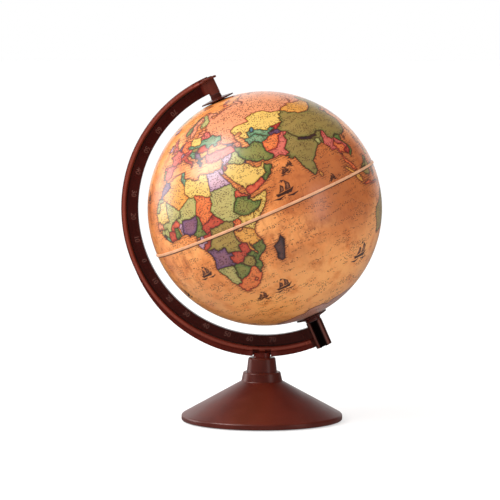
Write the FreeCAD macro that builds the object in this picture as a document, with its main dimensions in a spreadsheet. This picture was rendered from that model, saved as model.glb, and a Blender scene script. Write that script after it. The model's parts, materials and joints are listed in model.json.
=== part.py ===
import FreeCAD, Part
import os
import re
import Sketcher

# A desktop globe: a ball of two moulded halves turns about a tilted axis between the ends of a
# half-circle arm, and the arm stands on a stem in a weighted conical base.
# The origin is on the stem's axis in the plane of the table. +Z is up, and the arm and the
# globe's axis lie in the XZ plane, with the upper pole leaning towards -X.
# What turns, or sits, on the globe's axis is drawn upright about the ball's centre and is
# then leaned over and lifted into place.

doc = FreeCAD.newDocument("desktop_globe")
Vector = FreeCAD.Vector

sizes = {
    # ball
    "ball_radius": 100.0,          # outside of the two halves
    "shell_wall": 1.6,             # wall of the halves
    "band_width": 2.2,             # raised band over the equator joint
    "band_proud": 0.9,             # band above the ball
    "band_seat": 0.6,              # rebate for the band in the halves
    "joint_ring_width": 12.0,      # sleeve inside the equator joint
    "joint_ring_wall": 1.4,
    # axis
    "axis_tilt": 23.5,             # degrees from the vertical
    "axle_radius": 2.15,           # upper pin and lower rod
    "fit_gap": 0.05,               # radial clearance of every fit
    "pole_gap": 0.05,              # end clearance at each washer
    # pole caps
    "hub_radius": 5.9,             # hub through the hole at each pole
    "hub_depth": 5.0,              # hub below the ball's surface
    "cap_edge": 1.0,               # thickness of the brim at its edge
    "upper_cap_radius": 14.5,
    "upper_cap_lift": 0.6,         # underside of the brim's edge above the pole
    "upper_brim_rise": 1.3,        # brim's slope, edge to collar
    "upper_collar_radius": 4.9,
    "upper_collar_top": 4.5,
    "upper_collar_height": 3.15,
    "lower_cap_radius": 13.7,
    "lower_cap_lift": -0.3,
    "lower_brim_rise": 1.9,
    "lower_neck_radius": 6.9,
    "lower_neck_end": 6.6,
    "lower_neck_height": 1.8,
    "washer_thick": 0.35,
    "clip_ring_radius": 10.5,      # push-on rings on the hubs, inside the ball
    "clip_ring_thick": 0.8,
    "rod_head_radius": 3.6,        # head of the lower rod, inside the ball
    "rod_head_thick": 1.5,
    # arm
    "arm_gap": 8.4,                # from the ball to the arm's inner edge
    "arm_depth": 14.2,             # radial depth of the channel
    "arm_thick": 6.8,              # across both side walls
    "arm_wall": 1.8,
    "arm_floor": 2.0,              # wall that faces the ball
    "bead_place": 10.95,           # bead's centre, out from the inner edge
    "bead_radius": 1.2,
    "fin_reach": 10.3,             # deeper side walls near the stem: their circle beyond the inner edge
    "fin_shift": 8.2,
    "fin_aim": 85.0,               # degrees below the horizontal
    "rib_thick": 1.4,              # cross ribs in the channel
    "rib_step": 15.0,              # degrees
    "boss_radius": 4.75,           # upper bearing boss
    "boss_top_radius": 4.35,
    "boss_length": 12.85,
    "flange_radius": 7.0,          # plate on the boss's outer end
    "flange_thick": 2.0,
    "pin_head_radius": 3.4,
    "pin_head_thick": 1.6,
    "pin_head_seat": 1.0,
    "pin_reach": 7.0,              # upper pin below the ball's surface
    "clip_radius": 7.0,            # slotted lower bearing
    "clip_length": 23.4,
    "clip_slot": 3.8,
    # arm's foot
    "foot_height": 19.4,           # stem's top to the arm's inner edge
    "globe_offset": 2.4,           # ball's centre ahead of the stem
    "dome_radius": 7.5,
    "dome_top_radius": 6.8,
    "dome_height": 4.2,
    "notch_width": 15.8,
    "notch_height": 7.7,
    "notch_web": 1.6,
    "foot_rib_width": 5.0,
    "spigot_radius": 5.5,
    "spigot_length": 16.0,
    # stem
    "stem_height": 12.2,           # above the base
    "stem_foot_radius": 13.0,
    "stem_top_radius": 11.7,
    "stem_chamfer": 1.0,
    "stem_spigot_radius": 11.0,
    "stem_spigot_length": 5.7,
    # base
    "base_radius": 69.0,
    "base_rise": 5.2,              # height of the shoulder
    "base_height": 41.9,
    "collar_height": 7.9,
    "collar_foot_radius": 17.6,
    "collar_top_radius": 15.9,
    "base_wall": 2.4,              # wall of the rim
    "roof_wall": 2.75,             # wall of the cone, measured upright
    "base_plate": 3.2,             # floor of the stem's socket
    "rim_clear": 0.8,              # rim above the table
    # underside
    "cover_lift": 1.2,             # cover above the table
    "cover_thick": 2.0,
    "cover_gap": 0.2,
    "cover_rib": 1.6,
    "cover_rib_height": 2.8,
    "ballast_inner": 14.0,
    "ballast_outer": 44.0,
    "ballast_thick": 6.0,
    "pad_radius": 7.0,             # rubber feet
    "pad_sink": 1.0,
    "pad_circle": 56.0,
    "pad_taper": 0.5,
    "post_radius": 3.6,            # screw posts under the cone
    "post_circle": 53.0,
    "screw_radius": 1.4,
    "screw_head_radius": 2.8,
    "screw_length": 7.0,
    "slot_width": 0.7,
    "slot_depth": 0.8,
    # screw that holds base, stem and arm together
    "tie_radius": 2.0,
    "tie_head_radius": 4.0,
    "tie_head_thick": 2.6,
    "tie_reach": 20.0,             # above the base's plate
    "tie_washer_radius": 6.0,
    "tie_washer_thick": 1.0,
}

sheet = doc.addObject("Spreadsheet::Sheet", "Sizes")
for row, (alias, value) in enumerate(sizes.items(), start=1):
    sheet.set(f"A{row}", alias)
    sheet.set(f"B{row}", str(value))
    sheet.setAlias(f"B{row}", alias)
doc.recompute()

# Places that follow from the sizes above.
arm_inner = "(ball_radius + arm_gap)"
arm_outer = f"({arm_inner} + arm_depth)"
half_arm = "(arm_thick / 2)"
half_hollow = "(arm_thick / 2 - arm_wall)"
bore_radius = "(axle_radius + fit_gap)"
hub_end = "(ball_radius - hub_depth)"
upper_brim_top = "(ball_radius + upper_cap_lift + cap_edge)"
upper_collar_base = f"({upper_brim_top} + upper_brim_rise)"
upper_collar_end = f"({upper_collar_base} + upper_collar_height)"
boss_start = f"({upper_collar_end} + washer_thick + 2 * pole_gap)"
boss_end = f"({boss_start} + boss_length)"
flange_end = f"({boss_end} + flange_thick)"
lower_brim_top = "(ball_radius + lower_cap_lift + cap_edge)"
lower_neck_base = f"({lower_brim_top} + lower_brim_rise)"
lower_neck_tip = f"({lower_neck_base} + lower_neck_height)"
clip_start = f"({lower_neck_tip} + washer_thick + 2 * pole_gap)"
clip_end = f"({clip_start} + clip_length)"
stem_top = "(base_height + stem_height)"
globe_height = f"({stem_top} + foot_height + {arm_inner})"
cone_top = "(base_height - collar_height)"
cone_slope = f"(({cone_top} - base_rise) / (base_radius - collar_foot_radius))"
socket_floor = "(base_height - stem_spigot_length)"
plate_under = f"({socket_floor} - base_plate)"
cover_top = "(cover_lift + cover_thick)"


def bound(text):
    """Write an expression of size names in the form that the sheet's cells are read by."""
    return re.sub(r"[a-z_]+", lambda word: ("Sizes." if word[0] in sizes else "") + word[0], text)


def amount(text):
    return float(sheet.evalExpression(bound(text)))


def bind(item, **expressions):
    for path, text in expressions.items():
        item.setExpression(path.replace("__", "."), bound(text))


def put(item, x="0", y="0", z="0"):
    bind(item, Placement__Base__x=x, Placement__Base__y=y, Placement__Base__z=z)
    return item


def turn(item, axis, angle, x="0", y="0", z="0"):
    """Turn an item about a line through its own origin, then put it in place."""
    item.Placement = FreeCAD.Placement(Vector(), FreeCAD.Rotation(axis, 1.0))
    bind(item, Placement__Rotation__Angle=angle)
    return put(item, x, y, z)


def lean(item):
    """Lean an upright item over and lift it, so that it lies on the globe's axis."""
    return turn(item, Vector(0, -1, 0), "axis_tilt", x="globe_offset", z=globe_height)


def outline(body, plane, corners):
    """A closed sketch with straight sides, every corner bound to the sheet."""
    sketch = body.newObject("Sketcher::SketchObject", f"{body.Name}_sketch")
    support = [item for item in body.Origin.OriginFeatures if item.Role == plane]
    sketch.AttachmentSupport = [(support[0], "")]
    sketch.MapMode = "FlatFace"
    spots = [Vector(amount(across), amount(along), 0) for across, along in corners]
    for start, end in zip(spots, spots[1:] + spots[:1]):
        sketch.addGeometry(Part.LineSegment(start, end), False)
    for side in range(len(corners)):
        sketch.addConstraint(Sketcher.Constraint("Coincident", side, 2, (side + 1) % len(corners), 1))
    for side, ((across, along), spot) in enumerate(zip(corners, spots)):
        for kind, text, value, axis in (("DistanceX", across, spot.x, -2), ("DistanceY", along, spot.y, -1)):
            if text == "0":
                sketch.addConstraint(Sketcher.Constraint("PointOnObject", side, 1, axis))
            else:
                rule = sketch.addConstraint(Sketcher.Constraint(kind, -1, 1, side, 1, value))
                sketch.setExpression(f"Constraints[{rule}]", bound(text))
    return sketch


def turned(label, corners):
    """A body turned about Z from corners given as (radius, height)."""
    body = doc.addObject("PartDesign::Body", label)
    sketch = outline(body, "XZ_Plane", corners)
    turning = body.newObject("PartDesign::Revolution", f"{label}_turning")
    turning.Profile = (sketch, [""])
    turning.ReferenceAxis = (sketch, ["V_Axis"])
    turning.Angle = 360
    body.Tip = turning
    doc.recompute()
    return body


def soften(body, radius, corners):
    """Round the circular edges of a turned body at the given (radius, height) corners."""
    base = body.Tip
    names = []
    for across, along in corners:
        for number, edge in enumerate(base.Shape.Edges, start=1):
            curve = edge.Curve
            if isinstance(curve, Part.Circle) and abs(curve.Radius - amount(across)) < 1e-4:
                if abs(curve.Center.z - amount(along)) < 1e-4:
                    names.append(f"Edge{number}")
    rounding = body.newObject("PartDesign::Fillet", f"{body.Name}_rounding")
    rounding.Base = (base, names)
    bind(rounding, Radius=radius)
    body.Tip = rounding
    doc.recompute()
    return body


def cylinder(label, radius, length, **place):
    item = doc.addObject("Part::Cylinder", label)
    bind(item, Radius=radius, Height=length)
    return put(item, **place)


def cone(label, lower, upper, length, **place):
    item = doc.addObject("Part::Cone", label)
    bind(item, Radius1=lower, Radius2=upper, Height=length)
    return put(item, **place)


def block(label, length, width, height, x="0", y="0", z="0"):
    """A box centred on x and y, standing on z."""
    item = doc.addObject("Part::Box", label)
    bind(item, Length=length, Width=width, Height=height)
    return put(item, f"{x} - {length} / 2", f"{y} - {width} / 2", z)


def cut(label, base, *tools):
    for number, tool in enumerate(tools, start=1):
        item = doc.addObject("Part::Cut", label if number == len(tools) else f"{label}_cut_{number}")
        item.Base = base
        item.Tool = tool
        base = item
    doc.recompute()
    return base


def fuse(label, *items):
    item = doc.addObject("Part::MultiFuse", label)
    item.Shapes = list(items)
    doc.recompute()
    return item


def common(label, *items):
    item = doc.addObject("Part::MultiCommon", label)
    item.Shapes = list(items)
    doc.recompute()
    return item


def around(circle, angle):
    return {"x": f"{circle} * cos({angle})", "y": f"{circle} * sin({angle})"}


quarters = (0, 90, 180, 270)
diagonals = (45, 135, 225, 315)


# Base ---------------------------------------------------------------------------------------

def cone_height(radius):
    """Height of the cone's outer face at a radius."""
    return f"(base_rise + (base_radius - {radius}) * {cone_slope})"


def make_base_shell():
    socket = "(stem_spigot_radius + fit_gap)"
    rim_inside = "(base_radius - base_wall)"
    roof_edge = f"(base_radius - ({plate_under} + roof_wall - base_rise) / {cone_slope})"
    shell = turned("base_turned", [
        (rim_inside, "rim_clear"), ("base_radius", "rim_clear"), ("base_radius", "base_rise"),
        ("collar_foot_radius", cone_top), ("collar_top_radius", "base_height"),
        (socket, "base_height"), (socket, socket_floor),
        ("(tie_radius + cover_gap)", socket_floor), ("(tie_radius + cover_gap)", plate_under),
        (roof_edge, plate_under), (rim_inside, f"{cone_height(rim_inside)} - roof_wall"),
    ])
    soften(shell, "base_wall * 0.9", [("base_radius", "base_rise")])
    soften(shell, "base_wall * 0.4", [("base_radius", "rim_clear")])
    soften(shell, "base_wall * 0.5", [("collar_foot_radius", cone_top), ("collar_top_radius", "base_height")])
    post_top = f"({cone_height('(post_circle + post_radius)')} - roof_wall / 4)"
    posts = [cylinder(f"post_{angle}", "post_radius", f"{post_top} - {cover_top}",
                      z=cover_top, **around("post_circle", angle)) for angle in diagonals]
    holes = [cylinder(f"post_hole_{angle}", "screw_radius + fit_gap", "screw_length + cover_gap",
                      z="cover_lift", **around("post_circle", angle)) for angle in diagonals]
    return cut("base_shell", fuse("base_with_posts", shell, *posts), fuse("post_holes", *holes))


def screw_corners(gap):
    """Countersunk screw, head down, from the axis outwards; gap makes the hole it sits in."""
    head = f"(screw_head_radius + {gap})"
    shank = f"(screw_radius + {gap})"
    tip = f"(screw_length + {gap})"
    drop = f"({head} - {shank})"
    return [("0", "0"), (head, "0"), (shank, drop), (shank, tip), ("0", tip)]


def make_cover_screw(number, angle):
    screw = turned(f"cover_screw_{number}_turned", screw_corners("0"))
    slots = [block(f"cover_screw_{number}_slot_{way}", *span, "slot_depth") for way, span in (
        ("x", ("screw_head_radius", "slot_width")), ("y", ("slot_width", "screw_head_radius")))]
    item = cut(f"cover_screw_{number}", screw, fuse(f"cover_screw_{number}_cross", *slots))
    return put(item, z="cover_lift", **around("post_circle", angle))


def make_base_cover():
    disc = "(base_radius - base_wall - cover_gap)"
    rib_inside = "(ballast_outer + cover_gap)"
    rib_outside = f"({rib_inside} + cover_rib)"
    rib_top = f"({cover_top} + cover_rib_height)"
    cover = turned("cover_turned", [
        ("0", "cover_lift"), (disc, "cover_lift"), (disc, cover_top), (rib_outside, cover_top),
        (rib_outside, rib_top), (rib_inside, rib_top), (rib_inside, cover_top), ("0", cover_top),
    ])
    holes = [put(turned(f"cover_hole_{angle}", screw_corners("fit_gap")), z="cover_lift",
                 **around("post_circle", angle)) for angle in diagonals]
    seats = [cylinder(f"pad_seat_{angle}", "pad_radius + fit_gap", "pad_sink", z="cover_lift",
                      **around("pad_circle", angle)) for angle in quarters]
    return cut("base_cover", cover, fuse("cover_openings", *holes, *seats))


def make_ballast():
    plate = cylinder("ballast_plate", "ballast_outer", "ballast_thick", z=cover_top)
    eye = cylinder("ballast_eye", "ballast_inner", "ballast_thick", z=cover_top)
    return cut("base_ballast", plate, eye)


def make_foot_pad(number, angle):
    return cone(f"foot_pad_{number}", "pad_radius - pad_taper", "pad_radius", "cover_lift + pad_sink",
                **around("pad_circle", angle))


# Stem ---------------------------------------------------------------------------------------

def make_stem():
    bore = "(spigot_radius + fit_gap)"
    stem = turned("stem_turned", [
        (bore, socket_floor), ("stem_spigot_radius", socket_floor), ("stem_spigot_radius", "base_height"),
        ("stem_foot_radius", "base_height"), ("stem_top_radius", f"{stem_top} - stem_chamfer"),
        ("(stem_top_radius - stem_chamfer * 0.8)", stem_top), (bore, stem_top),
    ])
    soften(stem, "stem_chamfer * 0.4", [("stem_top_radius", f"{stem_top} - stem_chamfer"),
                                        ("(stem_top_radius - stem_chamfer * 0.8)", stem_top)])
    stem.Label = "stem"
    return stem


def make_arm_screw():
    head_top = f"({plate_under} - tie_washer_thick)"
    head_under = f"({head_top} - tie_head_thick)"
    tip = f"({plate_under} + tie_reach)"
    screw = turned("arm_screw_turned", [
        ("0", head_under), ("tie_head_radius", head_under), ("tie_head_radius", head_top),
        ("tie_radius", head_top), ("tie_radius", f"{tip} - tie_radius"), ("0", tip),
    ])
    soften(screw, "tie_head_thick * 0.4", [("tie_head_radius", head_under)])
    slots = [block(f"arm_screw_slot_{way}", *span, "tie_head_thick * 0.5", z=head_under) for way, span in (
        ("x", ("tie_head_radius", "slot_width * 1.6")), ("y", ("slot_width * 1.6", "tie_head_radius")))]
    return cut("arm_screw", screw, fuse("arm_screw_cross", *slots))


def make_arm_screw_washer():
    place = f"{plate_under} - tie_washer_thick"
    disc = cylinder("tie_washer_disc", "tie_washer_radius", "tie_washer_thick", z=place)
    eye = cylinder("tie_washer_eye", "tie_radius + cover_gap", "tie_washer_thick", z=place)
    return cut("arm_screw_washer", disc, eye)


# Arm ----------------------------------------------------------------------------------------

def half_ring(label, corners):
    """A section given as (radius from the ball's centre, distance from the arm's plane),
    swept round the half circle from the upper pole to the lower one on the -X side."""
    body = doc.addObject("PartDesign::Body", label)
    sketch = outline(body, "XY_Plane", [(f"0 - {radius}", side) for radius, side in corners])
    sweep = body.newObject("PartDesign::Revolution", f"{label}_sweep")
    sweep.Profile = (sketch, [""])
    sweep.ReferenceAxis = (sketch, ["V_Axis"])
    sweep.Angle = 180
    sweep.Midplane = True
    body.Tip = sweep
    doc.recompute()
    return body


def drum(label, radius, half_width, x="0", z="0"):
    """A disc that lies in the arm's plane."""
    item = doc.addObject("Part::Cylinder", label)
    bind(item, Radius=radius, Height=f"2 * {half_width}")
    return turn(item, Vector(1, 0, 0), "90", x=x, y=half_width, z=z)


def make_channel():
    floor = f"({arm_inner} + arm_floor)"
    return half_ring("arm_channel", [
        (arm_inner, f"0 - {half_arm}"), (arm_outer, f"0 - {half_arm}"), (arm_outer, f"0 - {half_hollow}"),
        (floor, f"0 - {half_hollow}"), (floor, half_hollow), (arm_outer, half_hollow),
        (arm_outer, half_arm), (arm_inner, half_arm),
    ])


def make_bead(side, place):
    bead = doc.addObject("Part::Torus", f"arm_bead_{side}")
    bind(bead, Radius1=f"{arm_inner} + bead_place", Radius2="bead_radius")
    bead.Angle3 = 180
    # the half circle runs from the upper pole to the lower one on the -X side
    bead.Placement.Rotation = FreeCAD.Rotation(Vector(0, 0, -1), Vector(-1, 0, 0), Vector(0, 1, 0), "XYZ")
    return put(bead, y=place)


def make_fin():
    """Side walls that grow deeper towards the stem."""
    across = "(fin_aim - axis_tilt)"
    rim = f"({arm_inner} + fin_reach)"
    reach = f"({rim} + fin_shift)"
    disc = drum("fin_disc", rim, half_arm, x=f"0 - fin_shift * cos{across}",
                z=f"0 - fin_shift * sin{across}")
    inside = drum("fin_inside", f"{arm_inner} + arm_floor", half_arm)
    hollow = drum("fin_hollow", f"{reach} * 2", half_hollow)
    side = block("fin_side", reach, "arm_thick", f"2 * {reach}", x=f"0 - {reach} / 2", z=f"0 - {reach}")
    return cut("arm_fin", common("fin_half", disc, side), inside, hollow)


def make_ribs():
    """Cross ribs between the channel's side walls."""
    ribs = []
    count = int(80 / sizes["rib_step"])
    for number in range(-count, count + 1):
        rib = doc.addObject("Part::Box", f"arm_rib_{number + count + 1}")
        bind(rib, Length="arm_depth - arm_floor / 2 - rib_thick", Width=f"2 * {half_hollow}", Height="rib_thick")
        swing = f"({number} * rib_step)"
        start = f"({arm_inner} + arm_floor / 2)"
        turn(rib, Vector(0, 1, 0), f"180 + {swing}",
             x=f"0 - {start} * cos{swing} - rib_thick / 2 * sin{swing}", y=f"0 - {half_hollow}",
             z=f"{start} * sin{swing} + rib_thick / 2 * cos{swing}")
        ribs.append(rib)
    return ribs


def make_upper_boss():
    boss = turned("upper_boss", [
        ("0", boss_start), ("boss_radius", boss_start), ("boss_top_radius", boss_end),
        ("flange_radius", boss_end), ("flange_radius", flange_end), ("0", flange_end),
    ])
    return soften(boss, "flange_thick * 0.4", [("flange_radius", boss_end), ("flange_radius", flange_end)])


def make_lower_clip():
    barrel = turned("clip_barrel", [
        ("0", f"0 - {clip_end}"), ("clip_radius", f"0 - {clip_end}"), ("clip_radius", f"0 - {clip_start}"),
        ("0", f"0 - {clip_start}"),
    ])
    return soften(barrel, "flange_thick * 0.3", [("clip_radius", f"0 - {clip_end}"),
                                                 ("clip_radius", f"0 - {clip_start}")])


def make_arm():
    bores = [
        cylinder("upper_bore", bore_radius, f"{flange_end} - ball_radius", z="ball_radius"),
        cylinder("pin_head_seat", "pin_head_radius + fit_gap", "3 * pin_head_thick",
                 z=f"{flange_end} - pin_head_seat"),
        cylinder("lower_bore", bore_radius, "clip_length + 2", z=f"0 - {clip_end} - 1"),
        block("clip_slot_cut", "clip_slot", "clip_radius + 1", "clip_length + 2",
              y="0 - (clip_radius + 1) / 2", z=f"0 - {clip_end} - 1"),
    ]
    ring = fuse("arm_ring_solid", make_channel(), make_bead("front", f"0 - {half_arm}"),
                make_bead("back", half_arm), make_fin(), *make_ribs(), make_upper_boss(), make_lower_clip())
    ring = lean(cut("arm_ring", ring, fuse("arm_bores", *bores)))

    notch_top = f"({stem_top} + notch_height)"
    notch_depth = f"({half_arm} + bead_radius - notch_web / 2)"
    notches = [block(f"notch_{side}", "notch_width", notch_depth, "notch_height + 1", z=f"{stem_top} - 1",
                     y=f"{sign} (notch_web + {notch_depth}) / 2") for side, sign in (("front", "0 -"), ("back", "0 +"))]
    under = block("notch_under", "notch_width", "2 * arm_thick", "notch_height / 4 + 1", z=f"{stem_top} - 1")
    ring = cut("arm_ring_notched", ring, fuse("notches", *notches, under))

    foot = [
        cone("foot_dome", "dome_radius", "dome_top_radius", "dome_height", z=stem_top),
        cylinder("foot_spigot", "spigot_radius", "spigot_length + 1", z=f"{stem_top} - spigot_length"),
        block("foot_rib", "foot_rib_width", "arm_thick", "foot_height - 1", z=stem_top),
        block("foot_web", "notch_width", "notch_web", "notch_height", z=f"{stem_top} + dome_height / 2"),
        block("foot_core", "notch_width", f"2 * {half_hollow}", "foot_height - notch_height - 1", z=notch_top),
    ]
    pilot_start = f"({stem_top} - spigot_length)"
    pilot = cylinder("foot_pilot", "tie_radius + fit_gap", f"{plate_under} + tie_reach + cover_gap - {pilot_start}",
                     z=pilot_start)
    return cut("arm", fuse("arm_with_foot", ring, *foot), pilot)


# Ball and what turns with it ----------------------------------------------------------------

def make_half(label, low, high):
    outside = doc.addObject("Part::Sphere", f"{label}_outside")
    bind(outside, Radius="ball_radius")
    outside.Angle1 = low
    outside.Angle2 = high
    inside = doc.addObject("Part::Sphere", f"{label}_inside")
    bind(inside, Radius="ball_radius - shell_wall")
    hole = cylinder(f"{label}_hole", "hub_radius + fit_gap", "2 * ball_radius + 2", z="0 - ball_radius - 1")
    seat = turned(f"{label}_seat", [
        ("(ball_radius - band_seat)", "0 - band_width / 2"), ("(ball_radius + 1)", "0 - band_width / 2"),
        ("(ball_radius + 1)", "band_width / 2"), ("(ball_radius - band_seat)", "band_width / 2"),
    ])
    return lean(cut(label, outside, inside, hole, seat))


def make_equator_band():
    low, high = "0 - band_width / 2", "band_width / 2"
    outer = "(ball_radius + band_proud)"
    band = turned("band_turned", [
        ("(ball_radius - band_seat)", low), (outer, low), (outer, high), ("(ball_radius - band_seat)", high),
    ])
    band = soften(band, "band_proud * 0.6", [(outer, low), (outer, high)])
    band.Label = "equator_band"
    return lean(band)


def make_joining_ring():
    outer = "(sqrt(pow(ball_radius - shell_wall; 2) - pow(joint_ring_width / 2; 2)) - fit_gap)"
    low, high = "0 - joint_ring_width / 2", "joint_ring_width / 2"
    ring = turned("joining_ring_turned", [
        (f"({outer} - joint_ring_wall)", low), (outer, low), (outer, high), (f"({outer} - joint_ring_wall)", high),
    ])
    ring.Label = "joining_ring"
    return lean(ring)


def make_upper_pole_cap():
    cap = turned("upper_pole_cap", [
        (bore_radius, hub_end), ("hub_radius", hub_end), ("hub_radius", "ball_radius"),
        ("(hub_radius + 2)", "ball_radius"), ("upper_cap_radius", "ball_radius + upper_cap_lift"),
        ("upper_cap_radius", upper_brim_top), ("upper_collar_radius", upper_collar_base),
        ("upper_collar_top", upper_collar_end), (bore_radius, upper_collar_end),
    ])
    return lean(soften(cap, "cap_edge * 0.45", [("upper_cap_radius", "ball_radius + upper_cap_lift"),
                                                ("upper_cap_radius", upper_brim_top)]))


def make_lower_pole_cap():
    cap = turned("lower_pole_cap", [
        (bore_radius, f"0 - {hub_end}"), ("hub_radius", f"0 - {hub_end}"), ("hub_radius", "0 - ball_radius"),
        ("(hub_radius + 2)", "0 - ball_radius"), ("lower_cap_radius", "0 - ball_radius - lower_cap_lift"),
        ("lower_cap_radius", f"0 - {lower_brim_top}"), ("lower_neck_radius", f"0 - {lower_neck_base}"),
        ("lower_neck_end", f"0 - {lower_neck_tip}"), (bore_radius, f"0 - {lower_neck_tip}"),
    ])
    return lean(soften(cap, "cap_edge * 0.45", [("lower_cap_radius", "0 - ball_radius - lower_cap_lift"),
                                                ("lower_cap_radius", f"0 - {lower_brim_top}")]))


def make_ring(label, inner, outer, thick, start):
    disc = cylinder(f"{label}_disc", outer, thick, z=start)
    eye = cylinder(f"{label}_eye", inner, thick, z=start)
    return lean(cut(label, disc, eye))


def make_upper_axle_pin():
    seat = f"({flange_end} - pin_head_seat)"
    tip = "(ball_radius - pin_reach)"
    pin = turned("upper_axle_pin", [
        ("0", tip), ("axle_radius", tip), ("axle_radius", seat), ("pin_head_radius", seat),
        ("pin_head_radius", f"{seat} + pin_head_thick"), ("0", f"{seat} + pin_head_thick"),
    ])
    return lean(soften(pin, "pin_head_thick * 0.4", [("pin_head_radius", f"{seat} + pin_head_thick")]))


def make_lower_axle_rod():
    head = f"({hub_end} - fit_gap)"
    back = f"({head} - rod_head_thick)"
    rod = turned("lower_axle_rod", [
        ("0", f"0 - {clip_end}"), ("axle_radius", f"0 - {clip_end}"), ("axle_radius", f"0 - {head}"),
        ("rod_head_radius", f"0 - {head}"), ("rod_head_radius", f"0 - {back}"), ("0", f"0 - {back}"),
    ])
    return lean(soften(rod, "axle_radius * 0.3", [("axle_radius", f"0 - {clip_end}")]))


clip_ring_face = "(sqrt(pow(ball_radius - shell_wall; 2) - pow(clip_ring_radius; 2)) - fit_gap)"

pieces = [
    make_base_shell(), make_base_cover(), make_ballast(),
    *[make_cover_screw(number, angle) for number, angle in enumerate(diagonals, start=1)],
    *[make_foot_pad(number, angle) for number, angle in enumerate(quarters, start=1)],
    make_stem(), make_arm_screw(), make_arm_screw_washer(), make_arm(), make_upper_axle_pin(),
    make_ring("upper_washer", "axle_radius + 2 * fit_gap", "upper_collar_top - fit_gap", "washer_thick",
              f"{upper_collar_end} + pole_gap"),
    make_upper_pole_cap(),
    make_ring("upper_retaining_ring", "hub_radius + fit_gap", "clip_ring_radius", "clip_ring_thick",
              f"{clip_ring_face} - clip_ring_thick"),
    make_half("north_shell", 0, 90), make_half("south_shell", -90, 0),
    make_equator_band(), make_joining_ring(),
    make_ring("lower_retaining_ring", "hub_radius + fit_gap", "clip_ring_radius", "clip_ring_thick",
              f"0 - {clip_ring_face}"),
    make_lower_pole_cap(),
    make_ring("lower_washer", "axle_radius + 2 * fit_gap", "lower_neck_end - 4 * fit_gap", "washer_thick",
              f"0 - {lower_neck_tip} - pole_gap - washer_thick"),
    make_lower_axle_rod(),
]

doc.recompute()
failed = [item.Name for item in doc.Objects if {"Invalid", "Error"} & set(item.State)]
failed += [piece.Label for piece in pieces if piece.Shape.isNull() or not piece.Shape.isValid()]
if failed:
    raise SystemExit(f"these objects failed: {failed}")

os.makedirs("parts", exist_ok=True)
for piece in pieces:
    piece.Shape.exportStep(f"parts/{piece.Label}.step")
    print(piece.Label, "solids", len(piece.Shape.Solids), "volume", round(piece.Shape.Volume, 1))
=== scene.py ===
import json
import math
import bmesh
import bpy
import numpy as np
from mathutils import Matrix, Vector, kdtree
from mathutils.geometry import delaunay_2d_cdt

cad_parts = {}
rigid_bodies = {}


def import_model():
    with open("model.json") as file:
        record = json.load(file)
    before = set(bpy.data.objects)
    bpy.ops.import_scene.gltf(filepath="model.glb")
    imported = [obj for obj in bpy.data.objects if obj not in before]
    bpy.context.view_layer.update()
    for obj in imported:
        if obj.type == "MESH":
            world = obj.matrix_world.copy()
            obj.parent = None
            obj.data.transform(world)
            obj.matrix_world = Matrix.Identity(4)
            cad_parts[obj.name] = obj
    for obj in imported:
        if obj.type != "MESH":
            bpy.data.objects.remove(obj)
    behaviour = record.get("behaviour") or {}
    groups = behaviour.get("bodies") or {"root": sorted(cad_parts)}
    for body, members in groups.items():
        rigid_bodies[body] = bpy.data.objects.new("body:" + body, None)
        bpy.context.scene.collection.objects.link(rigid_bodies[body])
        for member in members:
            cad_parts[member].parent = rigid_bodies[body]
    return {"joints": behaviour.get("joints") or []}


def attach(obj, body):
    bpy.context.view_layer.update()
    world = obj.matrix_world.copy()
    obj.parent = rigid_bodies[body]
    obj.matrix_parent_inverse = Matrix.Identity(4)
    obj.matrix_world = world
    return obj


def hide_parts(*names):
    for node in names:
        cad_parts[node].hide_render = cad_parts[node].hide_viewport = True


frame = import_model()
for spare in [thing for thing in bpy.data.objects if thing.name in ("Cube", "Light", "Camera")]:
    bpy.data.objects.remove(spare)
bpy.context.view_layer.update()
print("frame loaded")

# The globe's pieces are drawn upright about the ball's centre, then leaned over and lifted into place.
spin = frame["joints"][0]
globeCentre = Vector(spin["pos_m"])
globeAxis = Vector(spin["axis"]).normalized()
globeLean = math.atan2(-globeAxis.x, globeAxis.z)
onGlobe = Matrix.Translation(globeCentre) @ Matrix.Rotation(-globeLean, 4, "Y")
ballRadius = 0.1

camera = {
    "azimuth": 2.43,             # degrees round from the front
    "elevation": 4.28,
    "distance": 2.56,            # from the globe's centre
    "lens": 216.0,
    "aimRight": -0.01258,        # aim point, across and up from the globe's centre
    "aimUp": -0.03541,
}


def placeCamera():
    a, e = math.radians(camera["azimuth"]), math.radians(camera["elevation"])
    back = Vector((math.sin(a) * math.cos(e), -math.cos(a) * math.cos(e), math.sin(e)))
    right = Vector((math.cos(a), math.sin(a), 0))
    up = back.cross(right)
    lens = bpy.data.cameras.new("camera")
    lens.sensor_width, lens.lens = 36.0, camera["lens"]
    lens.clip_start, lens.clip_end = 0.1, 50.0
    view = bpy.data.objects.new("camera", lens)
    bpy.context.scene.collection.objects.link(view)
    view.location = globeCentre + back * camera["distance"]
    target = globeCentre + right * camera["aimRight"] + up * camera["aimUp"]
    view.rotation_mode = "QUATERNION"
    view.rotation_quaternion = (target - view.location).to_track_quat("-Z", "Y")
    bpy.context.scene.camera = view


placeCamera()
print("camera placed")

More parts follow.
